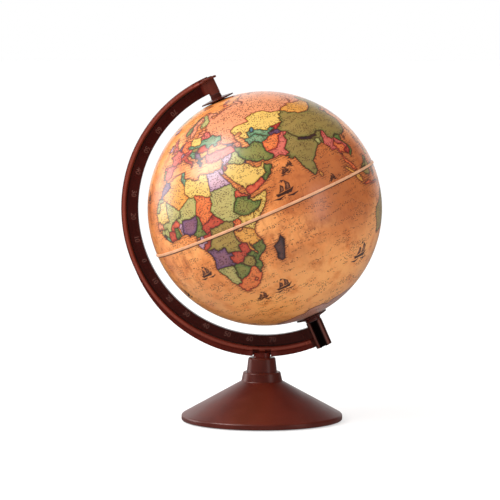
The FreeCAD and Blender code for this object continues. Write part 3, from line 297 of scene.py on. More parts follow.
# Borders, each run a little past the coast or the border that it meets.
borders = """
    25.2 31.7, 25 22, 36.9 22; 25 22, 25 20, 24 20, 24 19.5, 16 23.4, 14.2 22.6, 12 23.5, 9.4 26.2, 9.9 30,
    11.5 33.2;
    9.6 30.3, 7.6 33.5, 8.3 37; 12 23.5, 4.2 19.2, 3.2 19.1, 1.2 21.1, -4.8 25, -8.7 27.3, -8.7 28.7,
    -1.2 32.1, -2.2 35.2;
    -8.7 27.7, -13 27.7; -8.7 27.4, -8.7 26, -12 26, -12 23.4, -13 21.3, -17 21.3;
    -4.8 25, -6.5 25, -5.5 15.5, -10.8 15.1, -12.2 14.8, -14.3 16.6, -16.5 16.1; -12.2 14.8, -11.4 12.3,
    -13.7 12.6, -16.7 12.3;
    -13.7 12.6, -13.7 11.8, -15 10.9; -11.4 12.3, -8.4 12, -8 10.2, -8.3 7.5, -7.6 4.4; -13.3 9, -12 9.9,
    -10.3 8.4, -8.3 7.6;
    -10.3 8.4, -11.5 6.9; -8 10.2, -5.5 10.4, -5.3 11.6, -4 13.3, -2 14.2, 0.2 15, 3.6 15.6, 4.2 19.2;
    0.2 15, 2.2 12.4, 0.9 11, -2.9 11, -2.8 9.7, -5.5 10.4; -2.8 9.7, -3.1 5; -0.1 11, 0.5 8.5, 1.2 6;
    0.9 11, 1.6 9, 1.7 6.1;
    2.2 12.4, 3.6 11.9, 2.7 9, 2.7 6.3; 3.6 11.9, 4.2 13.5, 9 12.9, 13.6 13.7, 15.9 20.3, 15 23;
    13.6 13.7, 13.3 10.1, 11.5 6.6, 8.6 4.7; 14 13.2, 15.1 11.5, 15 10, 15.5 7.5, 18.6 8.1, 22.9 11,
    21.9 12.8, 24 15.7, 24 19.5;
    22.9 11, 24.2 8.7, 27.4 5, 22.5 4.2, 18.6 4.3, 18.6 3.5, 16.2 2.2; 15.5 7.5, 14.4 6, 16.2 2.2, 13.3 2.2,
    9.7 2.2;
    9.5 1, 11.3 1, 11.3 2.2; 13.3 2.2, 14.4 -1.8, 12.6 -2, 11.2 -3.8; 18.6 3.5, 17.8 0, 16.2 -2.2,
    15.3 -4.2, 12.3 -5.4;
    12.3 -5.9, 16.6 -5.9, 17.6 -8, 21.8 -7.3, 21.9 -10.8, 24 -10.9, 24 -13, 22 -13, 22 -16.2, 23.4 -17.6;
    27.4 5, 30.9 3.5, 31.2 2.2, 29.6 -1.4, 29.3 -4.5, 29.5 -6.8, 30.8 -8.3, 28.6 -8.8, 28.6 -12, 29.8 -13.4,
    27.2 -11.8, 24 -10.9;
    11.7 -17.2, 18.4 -17.4, 21.4 -18, 25.3 -17.8, 27 -18, 28.9 -15.9, 30.4 -15.6, 30.2 -14.9, 33.2 -14,
    32.9 -9.4, 30.8 -8.3;
    32.9 -9.4, 34.2 -9.7; 23 -17.7, 21 -18.3, 21 -22, 20 -22, 20 -28.4, 16.6 -28.7;
    20 -24.8, 20.7 -26.8, 25.6 -25.6, 29.4 -22.2, 31.3 -22.4, 32 -24.4, 31.9 -26.8, 32.7 -26.9; 25.3 -17.8,
    27.7 -20.5, 29.4 -22.2;
    31.3 -22.4, 32.7 -20.6, 33 -17.3, 30.4 -15.6; 27 -29.6, 28.7 -28.6, 29.4 -29.5, 28.2 -30.6, 27 -29.6;
    33.2 -14, 34.4 -14.5, 35.3 -17, 35.8 -16, 35 -14; 34.7 -11.6, 40.4 -10.7; 34 -1, 37.6 -3.1, 39.2 -4.6;
    32 -1, 30.2 -1.2, 29.6 -1.4; 33.8 0.1, 35 1.9, 34 4.2; 30.9 3.5, 34 4.2, 35.9 4.6, 38.1 3.6, 41.9 3.9,
    41 1, 41.2 -1.5;
    41.9 3.9, 45 4.9, 48 8, 44 9, 42.8 10.9, 41.8 11.2, 42.5 12.5, 36.5 14.3, 37 17, 38.5 18; 42.8 10.9,
    43.2 11.4; 42.5 12.5, 43.1 12.4;
    36.5 14.3, 36.1 12.7, 34.3 10.6, 33 7.9, 35.9 4.6; 34.2 31.3, 34.9 29.6; 34.9 29.6, 35.5 31.5,
    35.6 33.2, 35.2 33.1;
    35.6 33.2, 36.5 34.4, 35.9 34.6; 35.6 32.6, 36.8 32.3, 41 34.4, 42.4 37.1; 36 36, 38.5 36.8, 42.4 37.1,
    44.8 37.2, 44.8 39.7, 43.6 41.1, 41.4 41.5;
    34.9 29.4, 36.1 29.2, 37.9 30.4, 37 31.5, 39.2 32.1, 38.8 33.3; 39.2 32.1, 42 31.1, 44.7 29.2,
    46.5 29.1, 47.7 30.1; 46.5 29.1, 48.3 28.6;
    44.8 37.2, 46 35, 45.5 34, 47.7 31.3, 48.5 30; 44.8 39.7, 46.5 38.9, 48.9 38.5; 40 43.5, 46.5 41.9,
    48.5 41.9; 43.6 41.1, 45 41.3, 46.5 41.9;
    45 41.3, 46.5 38.9; 53.9 37.4, 57.2 38.2, 61.2 35.6, 60.6 33.5, 60.9 29.8, 63.2 27.2, 61.6 25.2;
    61.2 35.6, 64.5 36.3, 66.5 37.4, 70 37.6, 71.6 36.6, 74.9 37.2, 71.4 35, 69.3 31.9, 66.3 29.8,
    60.9 29.8;
    68.2 23.8, 71 24.5, 70 27.7, 74.5 31.2, 74 34, 77.8 35.5, 78.9 32.5, 81 30.2; 74.9 37.2, 77.8 35.5;
    81 30.2, 80.1 28.8, 84 27.4, 88.1 26.4, 88 27.9, 84 28.9, 81 30.2; 88 27.9, 89.5 28.2, 91.8 27.8,
    92 26.8, 88.8 27, 88 27.3; 91.8 27.8, 94.5 29.2, 97.3 28.2;
    89 21.9, 88.8 24.2, 89.2 26, 92.3 25, 91.4 23.5, 92.2 21.2; 97.3 28.2, 95.2 26.6, 94.2 24, 92.4 21;
    97.3 28.2, 98.7 27.3, 97.7 24, 99.2 22.1, 101.2 21.4, 100.1 20.3, 97.8 18.5, 98.5 16, 99.3 12.5,
    98 10.2;
    101.2 21.4, 102.1 22.4, 105 23.2, 108 21.5; 100.1 20.3, 101 17.7, 104.8 17, 105.6 14.4, 107.5 14.6,
    107.5 15.6, 102.9 20.6, 102.1 22.4;
    102.7 12, 102.5 13.7, 105.6 14.4; 107.5 14.6, 107.4 12.3, 104.5 10.5; 100.2 6.5, 102 6.1;
    74.9 37.2, 73.7 39.4, 76.5 40.5, 80.2 42.1, 80.3 45, 82.8 45.4, 83.2 47.2, 85.6 47.4, 87.3 49.1,
    90 47.8, 91 45.2, 95.4 44.3, 96.4 42.7, 105 41.6, 112 43.5, 119.8 46.7, 116.7 49.8;
    87.3 49.1, 92 50.7, 98 50.5, 98.3 52, 102.2 51.3, 106.5 50.3, 116.7 49.8, 120.8 53.3, 125 53,
    127.7 49.8, 130.9 47.8, 134.7 48.3, 133 45, 130.6 42.4;
    130.3 42.3, 128 42, 126.5 41.5, 124.3 40; 126.5 37.8, 128.6 38.6; 48.4 46.2, 47 48, 47 50, 51 51.6,
    61.5 51, 61 54, 68.5 55.3, 76.7 54.2, 80 50.8, 87.3 49.1;
    52.9 41.7, 56 41.3, 56 45, 58.4 45.4; 61.3 44.4, 65 43.5, 66 42, 68 41, 70.9 42.2, 80.2 42.1; 56 41.3,
    60 42.2, 62 40.5, 66.5 37.4;
    70.9 42.2, 73 40.8, 70.5 40, 73.7 39.4; 68 37.3, 67.8 39.5, 70.5 40; 42.6 16.4, 44 17.4, 47.5 17, 52 19,
    53.1 16.5;
    52 19, 55 20, 55.2 22.7, 52.6 22.9, 51.6 24.3; 55.2 22.7, 55.9 24.2, 56.4 24.9; 28 42, 26.4 41.8,
    26.2 40.8; 26.4 41.6, 23 41.3, 21 40.9, 20.1 39.7;
    28.6 43.8, 22.7 44.1, 23 41.3; 22.7 44.1, 21.4 44.9, 20.3 46.1, 18.8 45.9, 16.1 46.9, 13.7 46.5,
    10.4 46.8, 9.6 47.4; 19.5 41.9, 20.6 41.9, 21 40.9; 20.6 41.9, 18.4 42.5;
    18.8 45.9, 19.2 43.5, 18.4 42.5; 20.3 46.1, 22.9 48, 27 48.2, 28.2 45.5, 29.6 45.3; 14.3 53.9, 15 51,
    18.8 49.5, 22.5 49.1, 24 50.6, 23.6 53.9, 19.7 54.4;
    15 51, 12.3 50.2, 13.8 48.8, 17 48.4, 22.9 48; 13.8 48.8, 13 47.6, 9.6 47.4, 7.6 47.6, 8.1 49, 6.2 49.5,
    6.2 51, 7 53.4; 6.2 49.5, 2.6 51.1;
    7.6 47.6, 6 46.3, 7 45.9, 10.4 46.8; 7 45.9, 7.5 43.8; 16.1 46.9, 17 48.4; 16.1 46.9, 13.7 45.4;
    -1.7 43.3, 3.1 42.5; -8.8 41.9, -6.5 41.8, -7.2 39.5, -7.3 37.1;
    8.4 54.9, 9.7 54.9; 23.6 51.6, 30.6 51.4, 34 52.3, 35.5 50.5, 40 49.6, 38.4 47.1; 23.6 53.9, 26.5 55.6,
    28.2 56.1, 31 55, 32 52.1; 21.1 56.2, 26.5 55.6;
    24.4 57.9, 27.4 57.5; 28.2 56.1, 27.4 57.5, 28 59.5; 28 60.5, 31.5 62.8, 29.6 66.8, 28.5 69, 30.8 70.2;
    24.2 65.6, 23.6 67.9, 20.6 69;
    11.2 59, 12.2 61.5, 12 63.5, 14.5 66, 20.6 69, 25.7 69.7, 28.5 69; -123 49, -95.2 49, -89.5 48.2,
    -84.5 46.5, -82.5 44.6, -82.5 42, -79 43.3, -76.5 44.2, -71.5 45, -69.2 47.4, -67 45;
    -141 69.7, -141 60.2, -137 59, -130.2 55; -117.2 32.5, -111 31.3, -106.5 31.8, -103 29, -101.5 29.8,
    -97.3 26; -92.3 14.5, -91 17.4, -88.2 18.3; -89.6 13.7, -88.4 15.8;
    -87.4 13.1, -83.4 15; -85.7 11, -83.7 10.9; -82.9 8.3, -82.6 9.4; -77.8 7.3, -77.4 8.6; -71.4 12,
    -72.5 8, -67.5 6.2, -67 1.2, -69.8 1.7, -70 -4.2, -75.3 -0.1, -78.8 1.7;
    -75.3 -0.1, -78.3 -3.4, -80.3 -3.5; -70 -4.2, -73.8 -7.3, -70.6 -11, -68.8 -12.5, -69.5 -17.5,
    -70.4 -18.3; -67 1.2, -63.8 4, -60.7 5.2, -59 1.3, -54.5 2.3, -51.6 4.2;
    -60.7 5.2, -60 8.4; -57.4 6, -57.2 1.8; -54 5.8, -54.5 2.3; -70.6 -11, -65.4 -9.8, -60.2 -14,
    -58.2 -17.5, -58.2 -20, -62.6 -22.1, -67.9 -23, -69.5 -17.5;
    -58.2 -20, -54.3 -24, -54.6 -25.6, -58.6 -27.3, -57.7 -25.2, -62.6 -22.1; -67.9 -23, -70 -30, -71.5 -41,
    -72 -52, -68.4 -52.3; -54.6 -25.6, -57.7 -30.2, -53.4 -33.8; -57.7 -30.2, -58.3 -34.1;
    141 -2.6, 141 -9; 109.6 2, 110.5 1, 114.5 1.4, 115.8 4.2, 117.8 4.2; -72 18, -71.8 19.8"""
# Tints of the lands, with a place in each.
lands = {
    "olive": """
        115 3, 23 -3, 24 2, 135 -25, -60 -10, -62 1, 110 -1, 113 0.6, 139 -5, -8 39, -59 5, 120.2 -2.6,
        30 -19, 19 47.2""",
    "leaf": """
        40 8, 55 32, 24 -22, 37 -14, 57 21.5, 12 4, -105 40, -72 5, -71.5 -1.5, 106 20, 9 61, -1.2 7.5""",
    "paleGreen": """
        44 33, 5 16, 0 18, 27 63, 18 -22, -65 -35, 90 24, -42 75, 126.8 39.8, -9.5 10.5, -68 66.5, -14 25,
        30 15""",
    "moss": "103 35, 78 23, 82 18",
    "yellow": """
        45 23, 67 48, 17 27, 47 6, 37 1, 38 -1.2, -100 60, 15.5 52, 121 24, 125 8, -110 70.8, 122 0.8,
        -11 20""",
    "ochre": """
        3 28, 35 -6, 105 47, 25.4 42.8, -103 23, 99 2.3, 102.5 -2, 80.7 7.6, 121 16, -80 79.5, 1 8,
        142.7 50""",
    "orange": """
        66 33, 18 15, 25 -30, 127.5 36.5, -70 -27, 33.5 1.2, 10 50, 140 36, 112 -7.3, 119 -8.7, 100 18,
        54.5 72.5, -88 75.3""",
    "red": """
        20 7, 28 -14, 74.6 41.5, 36 32, 12.5 43, 106 12.6, -65 7, 45 40.1, -56 4, 15.5 1, 14.8 -2.5,
        24 45.7, -6 7""",
    "pink": """
        35 39, 2 47, 96 22, -4 40, 102 18.8, 26 54, -60 -23, -64 -17, -86 15, -2 54, -90.3 15.2, 13.5 47.5,
        67 27.5""",
    "crimson": "47 15.6, 37.8 15.6, -4 12.3",
    "purple": "8 8.5, 17 -12, -6 32, 71.3 38.6, 47.6 29.3, 22 43.8, -75 -9, 145 -6, 43 42, 97 79.6, 5 51.3",
    "lilac": "29 27, 37 34.5, -8 53, 8.3 46.8, -17 65, 2.2 9.5, 12 0.7, 11.6 -1.5, -84 9.9, -55.8 48.5",
    "dusk": "0 -80",
    "teal": """
        63 41.5, 58 42.6, 58 39, 31 49, 18 46, 17.5 44.2, 143 44, -78 -1, -78.3 0.6, -79 22, 9.3 34,
        -9.2 6.6""",
    "blue": "59.7 45",
    "navy": "46.5 -19, 84 28.2, 90.4 27.4, 42.4 11.6, 21.8 39.3, -80.5 8.4, -70.3 18.9, -11.8 8.4, 35 31.6",
    "salmon": """
        16 62, 100 60, 45 56, -150 65, 48.3 40.4, -14 13.6, 24.5 56.9, 22.8 55.2, 18 78.6, 143 74.8,
        171 -43.6, 175.5 -38.5""",
}


mapSheet = {
    "wall": 0.0016,              # of the printed half balls
    "facing": 43.5,              # longitude turned to the viewer at rest
    "stretch": 2.3,              # degrees, from forming the flat print into half balls
    "wander": 0.16,              # degrees that a drawn line strays, so that coasts look drawn
    "step": 0.55,                # degrees between the points of a drawn line
    "overrun": 1.1,              # degrees that a border runs past its ends
    "rings": 6,                  # icosphere level of the points between the lines
    "clear": 0.5,                # degrees kept clear of the lines by those points
    "bandHalf": 0.0011,          # half width of the equator band
    "poleHole": 0.0062,
}
tints = {
    "sea": (0.78, 0.24, 0.048), "olive": (0.27, 0.21, 0.04),
    "leaf": (0.1, 0.19, 0.035), "paleGreen": (0.38, 0.38, 0.12), "moss": (0.2, 0.18, 0.04),
    "dusk": (0.48, 0.23, 0.19), "yellow": (0.7, 0.47, 0.1), "ochre": (0.68, 0.3, 0.04),
    "orange": (0.72, 0.15, 0.028), "red": (0.47, 0.03, 0.016), "crimson": (0.6, 0.08, 0.03),
    "pink": (0.6, 0.105, 0.085), "purple": (0.125, 0.055, 0.15), "lilac": (0.47, 0.29, 0.4),
    "teal": (0.09, 0.28, 0.15), "blue": (0.03, 0.2, 0.26), "navy": (0.016, 0.016, 0.036),
    "salmon": (0.68, 0.25, 0.115), "ink": (0.075, 0.022, 0.01), "sail": (0.25, 0.085, 0.035),
}
openSeas = [(-40, 25), (-150, 20), (-20, -30), (70, -20), (-120, -40), (60, 10)]
# Small ships, each longitude, latitude, size in degrees and turn in degrees, on the open seas.
ships = [(64, 16.5, 4, 10), (59.6, 7.2, 9, 0), (85.6, 3.3, 3.4, 0), (4, -17.2, 7, 4), (39.5, -40.1, 7.5, 2),
         (24.3, -41.5, 5.5, -10), (97, -42, 9.5, 0), (67.5, 19, 3, -15), (-30, 30, 6, 0), (-28, -25, 7, 8),
         (-140, 20, 6, -6), (-120, -30, 6, 5), (165, 25, 6, 0), (-170, -45, 6, 0), (-95, -12, 5, 4)]


def places(text):
    return [tuple(float(v) for v in pair.split()) for pair in text.split(",")]


def onBall(lon, lat):
    turn = math.radians(lon - mapSheet["facing"] - 90)
    rise = math.radians(lat - mapSheet["stretch"] * math.sin(math.radians(2 * lat)))
    return Vector((math.cos(rise) * math.cos(turn), math.cos(rise) * math.sin(turn), math.sin(rise)))


# A wander that is the same in every run.
def wobble(p):
    return Vector((math.sin(310 * p.y + 5 * math.sin(170 * p.z)),
                   math.sin(290 * p.z + 5 * math.sin(190 * p.x)),
                   math.sin(330 * p.x + 5 * math.sin(150 * p.y)))) * 0.6


# A line through the corners, drawn by a hand that strays between them.
def drawnLine(corners, closed=False, wander=mapSheet["wander"]):
    line = []
    for start, end in zip(corners, corners[1:] + corners[:1] if closed else corners[1:]):
        span = math.degrees(onBall(*start).angle(onBall(*end)))
        count = max(1, round(span / mapSheet["step"]))
        for i in range(count):
            p = onBall(*(s + (e - s) * i / count for s, e in zip(start, end)))
            if i:
                p += wobble(p) * math.radians(wander) * min(2, count / 2)
            line.append(p.normalized())
    return line if closed else line + [onBall(*corners[-1])]


def overrun(line):
    reach = math.radians(mapSheet["overrun"])
    first = line[0] + (line[0] - line[1]).normalized() * reach
    last = line[-1] + (line[-1] - line[-2]).normalized() * reach
    return [first.normalized()] + line + [last.normalized()]


# Hull, two sails, a pennant and waves, as closed outlines with their tints.
def shipShapes(lon, lat, size, turn):
    shapes = [("ink", [(-0.5, 0), (-0.42, -0.16), (0.3, -0.18), (0.52, 0.06), (0.3, 0), (-0.3, -0.04)]),
              ("sail", [(-0.3, 0.02), (-0.04, 0.05), (0.0, 0.3), (-0.12, 0.42), (-0.2, 0.2)]),
              ("sail", [(0.06, 0.04), (0.34, 0.06), (0.38, 0.34), (0.2, 0.56), (0.16, 0.3)]),
              ("ink", [(0.0, 0.56), (0.16, 0.6), (0.02, 0.66)]),
              ("ink", [(-0.7, -0.24), (-0.4, -0.36), (-0.1, -0.24), (-0.4, -0.27)]),
              ("ink", [(0.05, -0.3), (0.35, -0.4), (0.65, -0.3), (0.35, -0.32)])]
    c, s = math.cos(math.radians(turn)), math.sin(math.radians(turn))
    across = size / math.cos(math.radians(lat))
    return [(tint, [(lon + (x * c - y * s) * across, lat + (x * s + y * c) * size) for x, y in shape])
            for tint, shape in shapes]


# Every line of the map as points on a ball of radius one, and a place with its tint for each land.
def readMap():
    lines = [drawnLine(places(text), closed=True) for text in coasts.values()]
    loops = [True] * len(lines)
    for text in borders.replace("\n", " ").split(";"):
        lines.append(overrun(drawnLine(places(text))))
        loops.append(False)
    seeds = [(onBall(*place), tint) for tint, text in lands.items() for place in places(text)]
    for ship in ships:
        for tint, shape in shipShapes(*ship):
            lines.append([onBall(*p) for p in shape])
            loops.append(True)
            corner = [(shape[0][k] + 2 * shape[1][k] + 2 * shape[-1][k]) / 5 for k in (0, 1)]
            seeds.append((onBall(*corner), tint))
    return lines, loops, seeds


# Stereographic place of a point, seen from the half's own pole.
def flat(p, side):
    return Vector((p.x, p.y)) / (1 + side * p.z)


def lifted(q, side):
    r = q.length_squared
    return Vector((2 * q.x / (1 + r), 2 * q.y / (1 + r), side * (1 - r) / (1 + r)))


def fillPoints():
    points = bmesh.new()
    bmesh.ops.create_icosphere(points, subdivisions=mapSheet["rings"], radius=1)
    found = [v.co.normalized() for v in points.verts]
    points.free()
    return found


def circlePoints(z, count):
    r = math.sqrt(1 - z * z)
    turns = [math.tau * i / count for i in range(count)]
    return [Vector((r * math.cos(a), r * math.sin(a), z)) for a in turns]


# One half of the map as triangles that follow every line.
def flatMap(side, lines, loops, seeds, fill):
    edgeHeight = mapSheet["bandHalf"] / ballRadius
    poleHeight = math.sqrt(1 - (mapSheet["poleHole"] / ballRadius) ** 2)
    rim, hole = circlePoints(side * edgeHeight, 720), circlePoints(side * poleHeight, 60)
    kept = [(line, loop) for line, loop in zip(lines, loops) if max(side * p.z for p in line) > 0]
    kept += [(rim, True), (hole, True)]
    tree = kdtree.KDTree(sum(len(line) for line, loop in kept))
    points, links = [], []
    for line, loop in kept:
        start = len(points)
        for i, p in enumerate(line):
            tree.insert(p, len(points))
            points.append(p)
            if i or loop:
                links.append((start + (i - 1) % len(line), start + i))
    tree.balance()
    clear = math.radians(mapSheet["clear"])
    lineCount = len(points)
    points += [p for p in fill if edgeHeight < side * p.z < poleHeight and tree.find(p)[2] > clear]
    for attempt in range(2):
        verts, edges, faces, vertFrom, edgeFrom = delaunay_2d_cdt(
            [flat(p, side) for p in points], links, [], 0, 1e-7)[:5]
        onLine = {i for i, source in enumerate(vertFrom) if not source or min(source) < lineCount}
        if attempt == 0:      # a bridge between two lines gets a point at its middle
            for (a, b), source in zip(edges, edgeFrom):
                middle = lifted((verts[a] + verts[b]) / 2, side)
                if not source and a in onLine and b in onLine and edgeHeight < side * middle.z < poleHeight:
                    points.append(middle)
    drawn = {frozenset(edge) for edge, source in zip(edges, edgeFrom) if source}
    balls = [lifted(v, side) for v in verts]
    inside = []
    for face in faces:
        height = side * sum((balls[v] for v in face), Vector()).normalized().z
        if edgeHeight < height < poleHeight:
            inside.append(tuple(face))
    return balls, inside, drawn


# Numbers the areas that the drawn lines close off.
def joinLands(faces, drawn):
    sides = {}
    for f, face in enumerate(faces):
        for a, b in zip(face, face[1:] + face[:1]):
            sides.setdefault(frozenset((a, b)), []).append(f)
    area = list(range(len(faces)))

    def root(f):
        while area[f] != f:
            area[f] = area[area[f]]
            f = area[f]
        return f

    for edge, pair in sides.items():
        if edge not in drawn and len(pair) == 2:
            area[root(pair[0])] = root(pair[1])
    return [root(f) for f in range(len(faces))], sides


def tintLands(balls, faces, area, sides, seeds, side):
    centres = [((balls[a] + balls[b] + balls[c]) / 3).normalized() for a, b, c in faces]
    tree = kdtree.KDTree(len(faces))
    for f, c in enumerate(centres):
        tree.insert(c, f)
    tree.balance()
    sizes = {}
    for f, a in enumerate(area):
        sizes[a] = sizes.get(a, 0) + 1
    tintOf = {area[tree.find(onBall(*place))[1]]: "sea" for place in openSeas if side * place[1] > 0}
    for place, tint in seeds:
        if side * place.z <= 0.001:
            continue
        f = tree.find(place)[1]
        tintOf.setdefault(area[f], tint)
    return tintOf, sizes


# How far each point lies from a drawn line, and from a coast, in millimetres.
def drawnDistances(balls, faces, area, tintOf, sides):
    inked, shores = set(), set()
    for edge, pair in sides.items():
        if len(pair) == 2 and area[pair[0]] != area[pair[1]]:
            inked.add(edge)
            tintPair = [tintOf.get(area[f], "sea") for f in pair]
            if "sea" in tintPair and not {"ink", "sail"} & set(tintPair):
                shores.add(edge)
    distances = []
    for chosen in (inked, shores):
        ends = {v for edge in chosen for v in edge}
        spots = [balls[v] for v in ends] + [((balls[a] + balls[b]) / 2) for a, b in map(tuple, chosen)]
        tree = kdtree.KDTree(len(spots))
        for i, p in enumerate(spots):
            tree.insert(p, i)
        tree.balance()
        toMillimetres = ballRadius * 1000
        distances.append([0.0 if v in ends else tree.find(p)[2] * toMillimetres
                          for v, p in enumerate(balls)])
    return distances


# A scrap cut off by two lines that nearly meet joins the neighbour it shares most with.
def mergeSlivers(area, tintOf, sizes, sides, smallest=14):
    shared = {}
    for pair in sides.values():
        if len(pair) == 2 and area[pair[0]] != area[pair[1]]:
            for a, b in (pair, pair[::-1]):
                if area[a] not in tintOf and sizes[area[a]] < smallest:
                    near = shared.setdefault(area[a], {})
                    near[area[b]] = near.get(area[b], 0) + 1
    into = {a: max(near, key=near.get) for a, near in shared.items()}
    return [into.get(a, a) for a in area]


# One printed half ball, with its tints and its distances to the drawn lines kept on the mesh.
def makeMapShell(name, node, side, mapLines, fill):
    lines, loops, seeds = mapLines
    balls, faces, drawn = flatMap(side, lines, loops, seeds, fill)
    area, sides = joinLands(faces, drawn)
    tintOf, sizes = tintLands(balls, faces, area, sides, seeds, side)
    area = mergeSlivers(area, tintOf, sizes, sides)
    ink, shore = drawnDistances(balls, faces, area, tintOf, sides)
    names = list(tints)
    shell = bmesh.new()
    land = shell.faces.layers.int.new("land")
    inkLayer = shell.verts.layers.float.new("inkDistance")
    shoreLayer = shell.verts.layers.float.new("shoreDistance")
    verts = {}
    for face in faces:
        for v in face:
            if v not in verts:
                verts[v] = shell.verts.new(balls[v] * ballRadius)
                verts[v][inkLayer], verts[v][shoreLayer] = ink[v], shore[v]
    for f, face in enumerate(faces):
        order = face if side > 0 else face[::-1]
        made = shell.faces.new([verts[v] for v in order])
        made[land] = names.index(tintOf.get(area[f], "sea"))
        made.smooth = True
    shell.normal_update()
    bmesh.ops.solidify(shell, geom=list(shell.faces), thickness=mapSheet["wall"])
    shell.transform(onGlobe)
    mesh = bpy.data.meshes.new(name)
    shell.to_mesh(mesh)
    shell.free()
    landOf = np.zeros(len(mesh.polygons), np.int32)
    mesh.attributes["land"].data.foreach_get("value", landOf)
    colours = np.array([(*tints[n], 0.0 if n == "sea" else 1.0) for n in names], np.float32)
    inkOf = np.array([n == "ink" for n in names], np.float32)
    counts = np.zeros(len(mesh.polygons), np.int32)
    mesh.polygons.foreach_get("loop_total", counts)
    perCorner = np.repeat(landOf, counts)
    tintLayer = mesh.attributes.new("tint", "FLOAT_COLOR", "CORNER")
    tintLayer.data.foreach_set("color", colours[perCorner].ravel())
    mesh.attributes.new("inked", "FLOAT", "CORNER").data.foreach_set("value", inkOf[perCorner])
    normals = []
    for v in mesh.vertices:
        out = v.co - globeCentre
        outer = out.length > ballRadius - mapSheet["wall"] / 2
        normals.append(out.normalized() if outer else -out.normalized())
    mesh.normals_split_custom_set_from_vertices(normals)
    piece = bpy.data.objects.new(name, mesh)
    bpy.context.scene.collection.objects.link(piece)
    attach(piece, "globe")
    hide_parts(node)
    print(name, len(mesh.polygons), "faces")


mapLines = readMap()
fill = fillPoints()
makeMapShell("northMap", "north_shell", 1, mapLines, fill)
makeMapShell("southMap", "south_shell", -1, mapLines, fill)


def putIn(links, socket, value):
    if hasattr(value, "links"):
        links.new(value, socket)
    elif isinstance(value, tuple) and socket.type == "RGBA":
        socket.default_value = (*value, 1.0)
    else:
        socket.default_value = value


def noiseOn(tree, place, scale, detail=4.0, roughness=0.55, distortion=0.0):
    made = tree.nodes.new("ShaderNodeTexNoise")
    for key, value in (("Vector", place), ("Scale", scale), ("Detail", detail), ("Roughness", roughness),
                       ("Distortion", distortion)):
        putIn(tree.links, made.inputs[key], value)
    return made.outputs["Fac"]


def span(tree, value, low, high, bottom=0.0, top=1.0):
    made = tree.nodes.new("ShaderNodeMapRange")
    made.interpolation_type = "SMOOTHSTEP"
    for key, given in (("Value", value), ("From Min", low), ("From Max", high), ("To Min", bottom),
                       ("To Max", top)):
        putIn(tree.links, made.inputs[key], given)
    return made.outputs["Result"]


def maths(tree, operation, *values):
    made = tree.nodes.new("ShaderNodeMath")
    made.operation = operation
    for socket, value in zip(made.inputs, values):
        putIn(tree.links, socket, value)
    return made.outputs["Value"]


def times(tree, first, *others):
    for other in others:
        first = maths(tree, "MULTIPLY", first, other)
    return first


# One between two limits, with a soft rise and a soft fall.
def window(tree, value, rise, fall):
    return times(tree, span(tree, value, *rise), span(tree, value, *fall))


def mixed(tree, share, first, second, mode="MIX"):
    made = tree.nodes.new("ShaderNodeMix")
    made.data_type, made.blend_type = "RGBA", mode
    sockets = [s for s in made.inputs if s.enabled]
    for socket, value in zip(sockets, (share, first, second)):
        putIn(tree.links, socket, value)
    return [s for s in made.outputs if s.enabled][0]


def moved(tree, place, at=(0, 0, 0), turn=(0, 0, 0), scale=(1, 1, 1)):
    made = tree.nodes.new("ShaderNodeMapping")
    for key, value in (("Vector", place), ("Location", at), ("Rotation", turn), ("Scale", scale)):
        putIn(tree.links, made.inputs[key], value)
    return made.outputs["Vector"]


def parted(tree, place):
    made = tree.nodes.new("ShaderNodeSeparateXYZ")
    tree.links.new(place, made.inputs["Vector"])
    return made.outputs["X"], made.outputs["Y"], made.outputs["Z"]


def objectPlace(tree):
    return tree.nodes.new("ShaderNodeTexCoord").outputs["Object"]


def attribute(tree, name, output):
    made = tree.nodes.new("ShaderNodeAttribute")
    made.attribute_name = name
    return made.outputs[output]


def newGroup(name, inputs, outputs):
    tree = bpy.data.node_groups.new(name, "ShaderNodeTree")
    for label, kind, value in inputs:
        socket = tree.interface.new_socket(name=label, in_out="INPUT", socket_type=kind)
        if value is not None:
            socket.default_value = value
    for label, kind in outputs:
        tree.interface.new_socket(name=label, in_out="OUTPUT", socket_type=kind)
    return tree, tree.nodes.new("NodeGroupInput").outputs, tree.nodes.new("NodeGroupOutput").inputs


def useGroup(tree, group, **values):
    made = tree.nodes.new("ShaderNodeGroup")
    made.node_tree = group
    for label, value in values.items():
        putIn(tree.links, made.inputs[label], value)
    return made.outputs


def newMaterial(name):
    made = bpy.data.materials.new(name)
    made.use_nodes = True
    tree = made.node_tree
    return made, tree, tree.nodes["Principled BSDF"]


number = "NodeSocketFloat"
# Moulded plastic: flow clouds in its colour, a fine spark texture, and rubbed spots.
skinGroup, come, go = newGroup(
    "mouldedSkin", [("cloudScale", number, 40.0), ("grainScale", number, 2600.0)],
    [("cloud", number), ("grain", number), ("rubbed", number)])
where = objectPlace(skinGroup)
cloud = noiseOn(skinGroup, where, come["cloudScale"], 5, 0.55, 0.8)
grain = noiseOn(skinGroup, where, come["grainScale"], 2, 0.6)
rubbed = times(skinGroup, span(skinGroup, noiseOn(skinGroup, where, 160, 6, 0.7), 0.58, 0.74),
               span(skinGroup, cloud, 0.4, 0.6))
for key, value in (("cloud", span(skinGroup, cloud, 0.3, 0.7)), ("grain", grain), ("rubbed", rubbed)):
    skinGroup.links.new(value, go[key])
# Dust that settles on what faces up.
dustGroup, come, go = newGroup("settledDust", [("amount", number, 0.3)], [("mask", number)])
facing = parted(dustGroup, dustGroup.nodes.new("ShaderNodeNewGeometry").outputs["Normal"])
lying = span(dustGroup, facing[2], 0.25, 0.95)
specks = span(dustGroup, noiseOn(dustGroup, objectPlace(dustGroup), 900, 5, 0.8), 0.42, 0.7)
dustGroup.links.new(times(dustGroup, lying, specks, come["amount"]), go["mask"])
